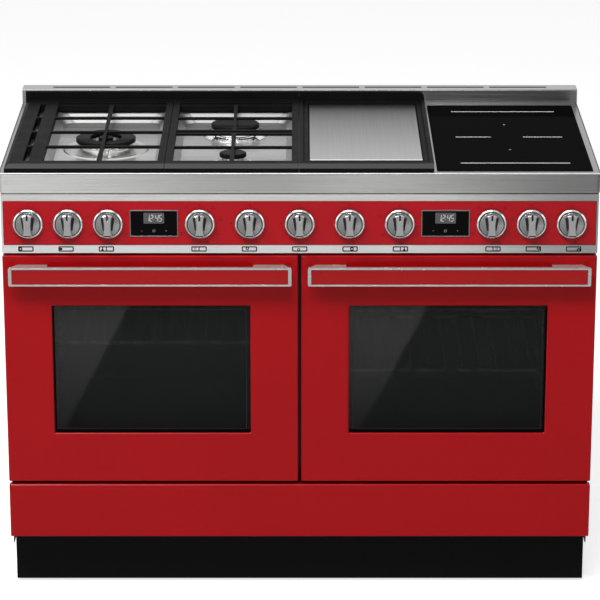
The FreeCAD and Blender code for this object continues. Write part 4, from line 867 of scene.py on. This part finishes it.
def gas_marks():
    """Off at the top, a large flame at the left and a small one near the foot."""
    faces = around(disc_shape(0, 0, dial_dot), 0, mark_radius)
    faces += around(moved(flame(1), 0, -flame_height / 2), large_flame_angle, mark_radius)
    small_radius = mark_radius + flame_height / 4
    faces += around(moved(flame(0.65), 0, -flame_height / 3), small_flame_angle, small_radius)
    for index in range(gas_dots):
        angle = gas_dots_start + index * gas_dots_pitch
        faces += around(disc_shape(0, 0, dial_dot * (0.7 - 0.045 * index)), angle, mark_radius - dial_dot)
    return faces


def dial_dots(count, end=dial_end):
    """A dot at the top and smaller ones round the dial."""
    faces = around(disc_shape(0, 0, dial_dot), 0, mark_radius)
    for index in range(count):
        angle = dial_start + (end - dial_start) * index / (count - 1)
        faces += around(disc_shape(0, 0, dial_dot * 0.6), angle, mark_radius - dial_dot)
    return faces


def function_marks():
    """Small framed signs round the dial, each with its own bars."""
    faces = around(disc_shape(0, 0, dial_dot), 0, mark_radius)
    size = symbol_size
    for index in range(function_signs):
        sign = frame_shape(0, 0, size, size, size / 5, size / 9)
        if index % 2:
            sign = sign + line_shape(-size / 4, size / 4, size / 4, size / 4, size / 8)
        if index % 4 < 2:
            sign = sign + line_shape(-size / 4, -size / 4, size / 4, -size / 4, size / 8)
        if index % 3 == 0:
            sign = sign + disc_shape(0, 0, size / 7)
        faces += around(sign, function_pitch * (index + 1), symbol_radius)
    return faces


def dial_numbers(knob, numbers, start=dial_start, end=dial_end):
    """Plain numbers round a dial, as thin raised print."""
    x, z = knob_centre(knob)
    for index, number in enumerate(numbers):
        angle = math.radians(start + (end - start) * index / (len(numbers) - 1))
        curve = bpy.data.curves.new("number", "FONT")
        curve.body = str(number)
        curve.size = number_height
        curve.align_x = "CENTER"
        curve.align_y = "CENTER"
        curve.resolution_u = 3
        curve.extrude = print_thickness
        text = bpy.data.objects.new("number", curve)
        bpy.context.scene.collection.objects.link(text)
        text.rotation_euler = (math.pi / 2, 0, 0)
        across, rise = symbol_radius * math.sin(angle), symbol_radius * math.cos(angle)
        text.location = (x + across, insert_low.y, z + rise)
        bpy.context.view_layer.update()
        mesh = bpy.data.meshes.new_from_object(text)
        mesh.transform(text.matrix_world)
        bpy.data.objects.remove(text)
        add_piece(f"{knob.replace('knob', 'number')}_{number}", mesh, print_and_shadow_ink, ROOT)


def fill_knobs():
    """Each knob's painted shade in its groove, on its scooped sides and at the foot of its grip, a turned
    disc and rim with painted highlights and reflections, and the black pointer on its grip.
    """
    for knob in icon_contents():
        x, z = knob_centre(knob)
        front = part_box(knob)[0].y
        # Dark ring that is painted shade in the knob's groove
        ring = moved(ring_shape(0, 0, knob_groove_shade_radius, knob_groove_shade_line), x, z)
        printed(f"groove_{knob}", ring, on_front(front + knob_groove_shade_depth), FRONT, groove_ink, knob)
        disc = moved(disc_shape(0, 0, knob_disc_radius - print_thickness), x, z)
        printed(f"disc_{knob}", disc, on_front(front + knob_disc_depth), FRONT, disc_reflection_metal, knob)
        base = Vector((x, insert_low.y, z))
        lathe(f"rim_{knob}", knob_rim, base, FRONT, rim_highlight_metal, knob)
        # Dark shapes beside the grip that are painted shade on the scoops
        scoop_shades = [[(side * u, v) for u, v in knob_scoop_shade] for side in SIDES]
        disc_face = on_front(front + knob_disc_depth - print_thickness)
        printed(f"scoops_{knob}", moved(scoop_shades, x, z), disc_face, FRONT, groove_ink, knob)
        # A dark line that is a painted shadow at the foot of the grip
        foot_shadow_z = z - knob_foot_shadow_drop
        half = knob_foot_shadow_width / 2
        foot_shadow = line_shape(x - half, foot_shadow_z, x + half, foot_shadow_z, knob_foot_shadow_line)
        printed(f"foot_{knob}", foot_shadow, on_front(front), FRONT, print_and_shadow_ink, knob)
        head = z + knob_disc_radius - print_thickness
        pointer = line_shape(x, head - knob_mark_length, x, head, knob_mark_width)
        printed(f"pointer_{knob}", pointer, on_front(front + knob_mark_depth), FRONT, print_and_shadow_ink, knob)


def print_insert_edge():
    """Painted shade in the gap round the red insert."""
    width, height = insert_high.x - insert_low.x, insert_high.z - insert_low.z
    x, z = (insert_high.x + insert_low.x) / 2, (insert_high.z + insert_low.z) / 2
    faces = frame_shape(x, z, width, height, insert_gap, insert_gap)
    printed("insert_gap_shade", faces, on_front(insert_low.y), FRONT, groove_ink, ROOT)


def print_dials():
    """Marks on the red insert round each knob."""
    gas = ("knob_wok_outer", "knob_wok_inner", "knob_rapid_burner", "knob_auxiliary_burner")
    functions = ("knob_left_oven_function", "knob_right_oven_function")
    thermostats = ("knob_left_oven_thermostat", "knob_right_oven_thermostat")
    inductions = ("knob_induction_rear", "knob_induction_front")
    marks = {knob: gas_marks() for knob in gas}
    marks |= {knob: function_marks() for knob in functions}
    marks |= {knob: dial_dots(thermostat_dots) for knob in thermostats}
    marks |= {knob: dial_dots(induction_dots) for knob in inductions}
    marks["knob_griddle"] = dial_dots(griddle_dots, griddle_end)
    for knob, faces in marks.items():
        x, z = knob_centre(knob)
        name = knob.replace("knob", "dial")
        printed(name, moved(faces, x, z), on_front(insert_low.y), FRONT, print_and_shadow_ink, ROOT)
    for knob in thermostats:
        dial_numbers(knob, thermostat_numbers, start=thermostat_number_start)
    for knob in inductions:
        dial_numbers(knob, induction_numbers)
    dial_numbers("knob_griddle", griddle_numbers, griddle_number_start, griddle_end)


# Displays

def segments(digit):
    """The lit strokes of a digit in a box of one by one, as end points."""
    strokes = {
        "top": ((0, 1), (1, 1)), "middle": ((0, 0.5), (1, 0.5)), "foot_shadow": ((0, 0), (1, 0)),
        "top_left": ((0, 0.5), (0, 1)), "top_right": ((1, 0.5), (1, 1)),
        "foot_left": ((0, 0), (0, 0.5)), "foot_right": ((1, 0), (1, 0.5)),
    }
    shown = {
        1: ("top_right", "foot_right"),
        2: ("top", "top_right", "middle", "foot_left", "foot_shadow"),
        4: ("top_left", "middle", "top_right", "foot_right"),
        5: ("top", "top_left", "middle", "foot_right", "foot_shadow"),
    }
    return [strokes[name] for name in shown[digit]]


def digit_shape(digit, x, z):
    """Slanted strokes with a small gap at each joint."""
    faces = []
    for (u0, v0), (u1, v1) in segments(digit):
        ends = []
        for u, v in ((u0, v0), (u1, v1)):
            ends.append(Vector((x + u * digit_width + v * digit_height * digit_slant, z + v * digit_height)))
        gap = (ends[1] - ends[0]).normalized() * (digit_stroke * 0.45)
        start, end = ends[0] + gap, ends[1] - gap
        faces += line_shape(start.x, start.y, end.x, end.y, digit_stroke)
    return faces


def clock_digits(x, z):
    """A time of day, set a little to the right in its window."""
    left = x - lcd_width / 2 + digit_pitch * 0.75
    faces = []
    for index, digit in enumerate((1, 2, 4, 5)):
        shift = index * digit_pitch + (colon_gap if index > 1 else 0)
        faces += digit_shape(digit, left + shift, z - digit_height / 2)
    colon_x = left + 2 * digit_pitch + colon_gap / 4
    for side in SIDES:
        faces += disc_shape(colon_x + side * digit_height * digit_slant / 4, z + side * digit_height / 4,
                            digit_stroke * 0.55)
    return faces


def display_buttons(x, z):
    """Minus, clock and plus."""
    half = button_size / 2
    faces = line_shape(x - button_pitch - half / 2, z, x - button_pitch + half / 2, z, button_line)
    faces += frame_shape(x, z, button_size, button_size, button_size / 4, button_line)
    faces += line_shape(x + button_pitch - half / 2, z, x + button_pitch + half / 2, z, button_line)
    faces += line_shape(x + button_pitch, z + button_line / 2, x + button_pitch, z + half / 2, button_line)
    faces += line_shape(x + button_pitch, z - button_line / 2, x + button_pitch, z - half / 2, button_line)
    return faces


def print_displays():
    z = (display_low.z + display_high.z) / 2
    place = display_high.x - display_width / 2
    for side, name in zip(SIDES, ("left", "right")):
        x = side * place
        window = [rounded(x, z + lcd_rise, lcd_width, lcd_height, lcd_height / 20)]
        printed(f"display_window_{name}", window, on_front(display_low.y), FRONT, lcd_grey, ROOT)
        digits = on_front(display_low.y - print_thickness)
        printed(f"display_digits_{name}", clock_digits(x, z + lcd_rise), digits, FRONT, lcd_white, ROOT)
        buttons = display_buttons(x, z - button_drop)
        printed(f"display_buttons_{name}", buttons, on_front(display_low.y), FRONT, button_grey, ROOT)


# Hob

def print_zones():
    """Three lines and two crosses on the induction glass."""
    x0 = glass_low.x + zone_line_inset
    x1 = glass_high.x - zone_line_inset + zone_line_reach
    middle = (glass_low.x + glass_high.x) / 2
    faces = []
    for index, depth in enumerate(zone_line_depths):
        y = worktop_low.y + depth
        if index == 1:
            faces += line_shape(x0, y, middle - zone_line_gap / 2, y, zone_line_width)
            faces += line_shape(middle + zone_line_gap / 2, y, x1, y, zone_line_width)
        else:
            faces += line_shape(x0, y, x1, y, zone_line_width)
    for depth in zone_cross_depths:
        y = worktop_low.y + depth
        half = zone_cross / 2
        faces += line_shape(middle - half, y, middle + half, y, zone_cross_line)
        faces += line_shape(middle, y + zone_cross_line / 2, middle, y + half, zone_cross_line)
        faces += line_shape(middle, y - half, middle, y - zone_cross_line / 2, zone_cross_line)
    printed("zone_lines", faces, on_top(glass_high.z), UP, zone_ink, ROOT)


def bead(name, start, end, radius, material, body=ROOT):
    """A round bead along an edge."""
    along = Vector(end) - Vector(start)
    profile = [(0, 0), (radius, 0), (radius, along.length), (0, along.length)]
    lathe(name, profile, Vector(start), along.normalized(), material, body, steps=16)


def fit_beads():
    """The rolled edges of the hob; the side ones are dark as a painted shadow."""
    head = worktop_high.z - bead_depth
    front = worktop_low.y + bead_depth
    side = worktop_high.x - bead_depth
    bead("bead_front", (-side, front, head), (side, front, head), front_bead_radius, edge_steel)
    back = upstand_low.y
    # The side beads are dark as a painted shadow along the hob's sides
    for way, word in zip(SIDES, ("left", "right")):
        x = way * side
        bead(f"bead_{word}", (x, front, head), (x, back, head), side_bead_radius, edge_shadow)


def fit_griddle():
    """The griddle plate's front bead, pale as a painted highlight, and painted shadow in the groove round it
    in the cast frame.
    """
    low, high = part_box("griddle_plate")
    # The bead's pale steel is a painted highlight along the plate's front edge
    y = low.y + griddle_bead_radius
    bead("griddle_edge", (low.x + griddle_bead_radius, y, high.z), (high.x - griddle_bead_radius, y, high.z),
         griddle_bead_radius, lip_highlight_steel, "griddle_plate")
    # Dark lines that are painted shadow in the groove round the griddle
    low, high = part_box("griddle_frame")
    front = low.y + groove_shadow_from_front
    back = high.y - groove_shadow_back_wall
    left, right = low.x + groove_shadow_from_side, high.x - groove_shadow_from_side
    half = groove_shadow_side_line / 2
    faces = line_shape(left - half, front, right + half, front, groove_shadow_front_line)
    for x in (left, right):
        faces += line_shape(x, front + groove_shadow_front_line / 2, x, back, groove_shadow_side_line)
    printed("griddle_groove_shadow", faces, on_top(worktop_high.z + cast_rise), UP, shade_ink, "griddle")


def fit_gauze():
    """Painted shade over the upstand's slots, as dark strips."""
    y = (upstand_low.y + upstand_high.y) / 2
    pitch = slot_shade_length + slot_shade_gap
    faces = []
    for index in range(slot_shade_count):
        x = (index - slot_shade_count / 2) * pitch + slot_shade_gap / 2
        faces += line_shape(x, y, x + slot_shade_length, y, slot_shade_width)
    printed("vent_slot_shade", faces, on_top(upstand_high.z), UP, groove_ink, ROOT)


def burner_place(name):
    low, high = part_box(f"burner_cap_{name}")
    return Vector(((low.x + high.x) / 2, (low.y + high.y) / 2, low.z)), (high.x - low.x) / 2


def igniter(name, angle):
    """A ceramic spark plug beside a burner, with its metal tip."""
    centre, radius = burner_place(name)
    turn = math.radians(angle)
    out = radius + igniter_gap
    floor = bases_low.z + igniter_rise
    foot_shadow = Vector((centre.x + out * math.cos(turn), centre.y + out * math.sin(turn), floor))
    head = centre.z - floor - igniter_drop
    profile = [(0, 0), (igniter_collar_radius, 0), (igniter_collar_radius, igniter_collar_height),
               (igniter_radius, igniter_collar_height + igniter_rounding),
               (igniter_radius, head - igniter_rounding), (igniter_radius * 0.7, head), (0, head)]
    lathe(f"igniter_{name}", profile, foot_shadow, UP, ceramic, ROOT, steps=20)
    tip = [(0, 0), (igniter_tip_radius, 0), (igniter_tip_radius, igniter_tip_height),
           (0, igniter_tip_height + igniter_tip_point)]
    lathe(f"igniter_tip_{name}", tip, foot_shadow + UP * (head - igniter_tip_sink), UP, chrome, ROOT, steps=12)


def fit_igniters():
    for name, angle in igniter_angles.items():
        igniter(name, angle)


# Doors

def print_windows():
    """The thin printed border of each window's outer pane, and painted shade along its foot and outer side.
    """
    for way, side in zip(SIDES, ("left", "right")):
        low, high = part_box(f"door_{side}_glass_outer")
        x, z = (low.x + high.x) / 2, (low.z + high.z) / 2
        inset = 2 * window_print_inset
        width, height = high.x - low.x - inset, high.z - low.z - inset
        faces = frame_shape(x, z, width, height, window_print_inset / 3, window_print_line)
        printed(f"window_border_{side}", faces, on_front(low.y), FRONT, border_ink, f"door_{side}")
        foot_shadow = low.z + pane_lap + shade_foot_line / 2
        edge = x + way * (high.x - x - pane_lap - shade_side_line / 2)
        faces = line_shape(low.x + pane_lap, foot_shadow, high.x - pane_lap, foot_shadow, shade_foot_line)
        faces += line_shape(edge, foot_shadow + shade_foot_line / 2, edge, high.z - pane_lap, shade_side_line)
        printed(f"window_shade_{side}", faces, on_front(low.y), FRONT, shade_ink, f"door_{side}")


# Ovens

def fit_lamps():
    """A round lamp glass high on each oven's back wall."""
    for side in ("left", "right"):
        low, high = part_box(f"oven_liner_{side}")
        cover_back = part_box("fan_covers")[1].y
        centre = Vector((low.x + lamp_inset + lamp_radius, cover_back, high.z - lamp_inset - lamp_radius / 2))
        profile = [(0, lamp_height), (lamp_radius * 0.5, lamp_height * 0.95),
                   (lamp_radius * 0.85, lamp_height * 0.6), (lamp_radius, 0), (0, 0)]
        lathe(f"oven_lamp_{side}", profile, centre, FRONT, lamp_glass, ROOT)
        rim = [(lamp_radius, 0), (lamp_radius + lamp_rim, 0), (lamp_radius + lamp_rim, lamp_rim),
               (lamp_radius + lamp_rim / 3, lamp_rim), (lamp_radius, 0)]
        lathe(f"oven_lamp_rim_{side}", rim, centre, FRONT, chrome, ROOT)


# Back and sides

def screw(name, place, out):
    """A domed head with a shallow round recess."""
    radius = screw_radius
    profile = [(0, screw_height * 0.55), (radius * 0.35, screw_height * 0.55), (radius * 0.42, screw_height),
               (radius * 0.75, screw_height * 0.8), (radius, screw_height * 0.15), (radius, 0), (0, 0)]
    lathe(name, profile, place, out, finishes["zinc"], ROOT, steps=20)


def fit_screws():
    """Screws along the back panel's sides and its foot."""
    x_edge = panels_high.x - screw_side_inset
    y_back = panels_high.y
    heights = [panels_low.z + screw_side_rise + index * screw_side_pitch for index in range(screw_count)]
    for side, word in zip(SIDES, ("left", "right")):
        for index, z in enumerate(heights):
            screw(f"back_screw_{word}_{index}", Vector((side * x_edge, y_back, z)), BACK)
    for index in range(screw_count):
        x = (index - screw_count // 2) * screw_foot_pitch
        screw(f"back_screw_foot_{index}", Vector((x, y_back, panels_low.z + screw_foot_rise)), BACK)


# Stage

def build_floor():
    """A pale floor that looks nearly white to the camera."""
    mesh = bpy.data.meshes.new("floor")
    reach = floor_reach
    corners = [(-reach, -reach, 0), (reach, -reach, 0), (reach, reach, 0), (-reach, reach, 0)]
    mesh.from_pydata(corners, [], [(0, 1, 2, 3)])
    floor = bpy.data.objects.new("floor", mesh)
    bpy.context.scene.collection.objects.link(floor)
    made = Finish("floor", (0.80, 0.80, 0.80), 0.6, Specular_IOR_Level=0.0, Emission_Color=(1, 1, 1, 1))
    path = made.add("ShaderNodeLightPath")
    lift = made.add("ShaderNodeMapRange", To_Min=0.0, To_Max=floor_lift)
    made.join(path.outputs["Is Camera Ray"], lift.inputs["Value"])
    made.join(lift.outputs["Result"], made.shader.inputs["Emission Strength"])
    mesh.materials.append(made.material)


def build_world():
    """Pale all round for what the camera, metal and glass see, and a soft level for the rest."""
    world = bpy.data.worlds.new("studio")
    bpy.context.scene.world = world
    world.use_nodes = True
    nodes, links = world.node_tree.nodes, world.node_tree.links
    background = nodes["Background"]
    path = nodes.new("ShaderNodeLightPath")
    seen, through = nodes.new("ShaderNodeMath"), nodes.new("ShaderNodeMath")
    for node in (seen, through):
        node.operation = "MAXIMUM"
    level = nodes.new("ShaderNodeMapRange")
    level.inputs["To Min"].default_value = ambient
    level.inputs["To Max"].default_value = 1.0
    links.new(path.outputs["Is Camera Ray"], seen.inputs[0])
    links.new(path.outputs["Is Glossy Ray"], seen.inputs[1])
    links.new(seen.outputs[0], through.inputs[0])
    links.new(path.outputs["Is Transmission Ray"], through.inputs[1])
    links.new(through.outputs[0], level.inputs["Value"])
    links.new(level.outputs["Result"], background.inputs["Strength"])
    background.inputs["Color"].default_value = (1, 1, 1, 1)


def area_light(name, place, width, height, power):
    lamp = bpy.data.lights.new(name, "AREA")
    lamp.shape = "RECTANGLE"
    lamp.size = width
    lamp.size_y = height
    lamp.energy = power
    light = bpy.data.objects.new(name, lamp)
    bpy.context.scene.collection.objects.link(light)
    light.location = place
    light.rotation_euler = (Vector(light_aim) - Vector(place)).to_track_quat("-Z", "Y").to_euler()


def build_lights():
    for name, (place, width, height, power) in lights.items():
        area_light(name, place, width, height, power)


def build_camera():
    data = bpy.data.cameras.new("camera")
    data.lens = camera_lens
    data.sensor_width = camera_sensor
    data.clip_end = camera_reach
    camera = bpy.data.objects.new("camera", data)
    bpy.context.scene.collection.objects.link(camera)
    camera.location = camera_place
    camera.rotation_euler = (camera_pitch, 0, 0)
    bpy.context.scene.camera = camera


dress_frame()
print_icons()
print_insert_edge()
print_dials()
fill_knobs()
print_displays()
print_zones()
fit_beads()
fit_griddle()
fit_gauze()
fit_igniters()
print_windows()
fit_lamps()
fit_screws()
build_floor()
build_world()
build_lights()
build_camera()
bpy.context.scene.view_settings.view_transform = "Standard"
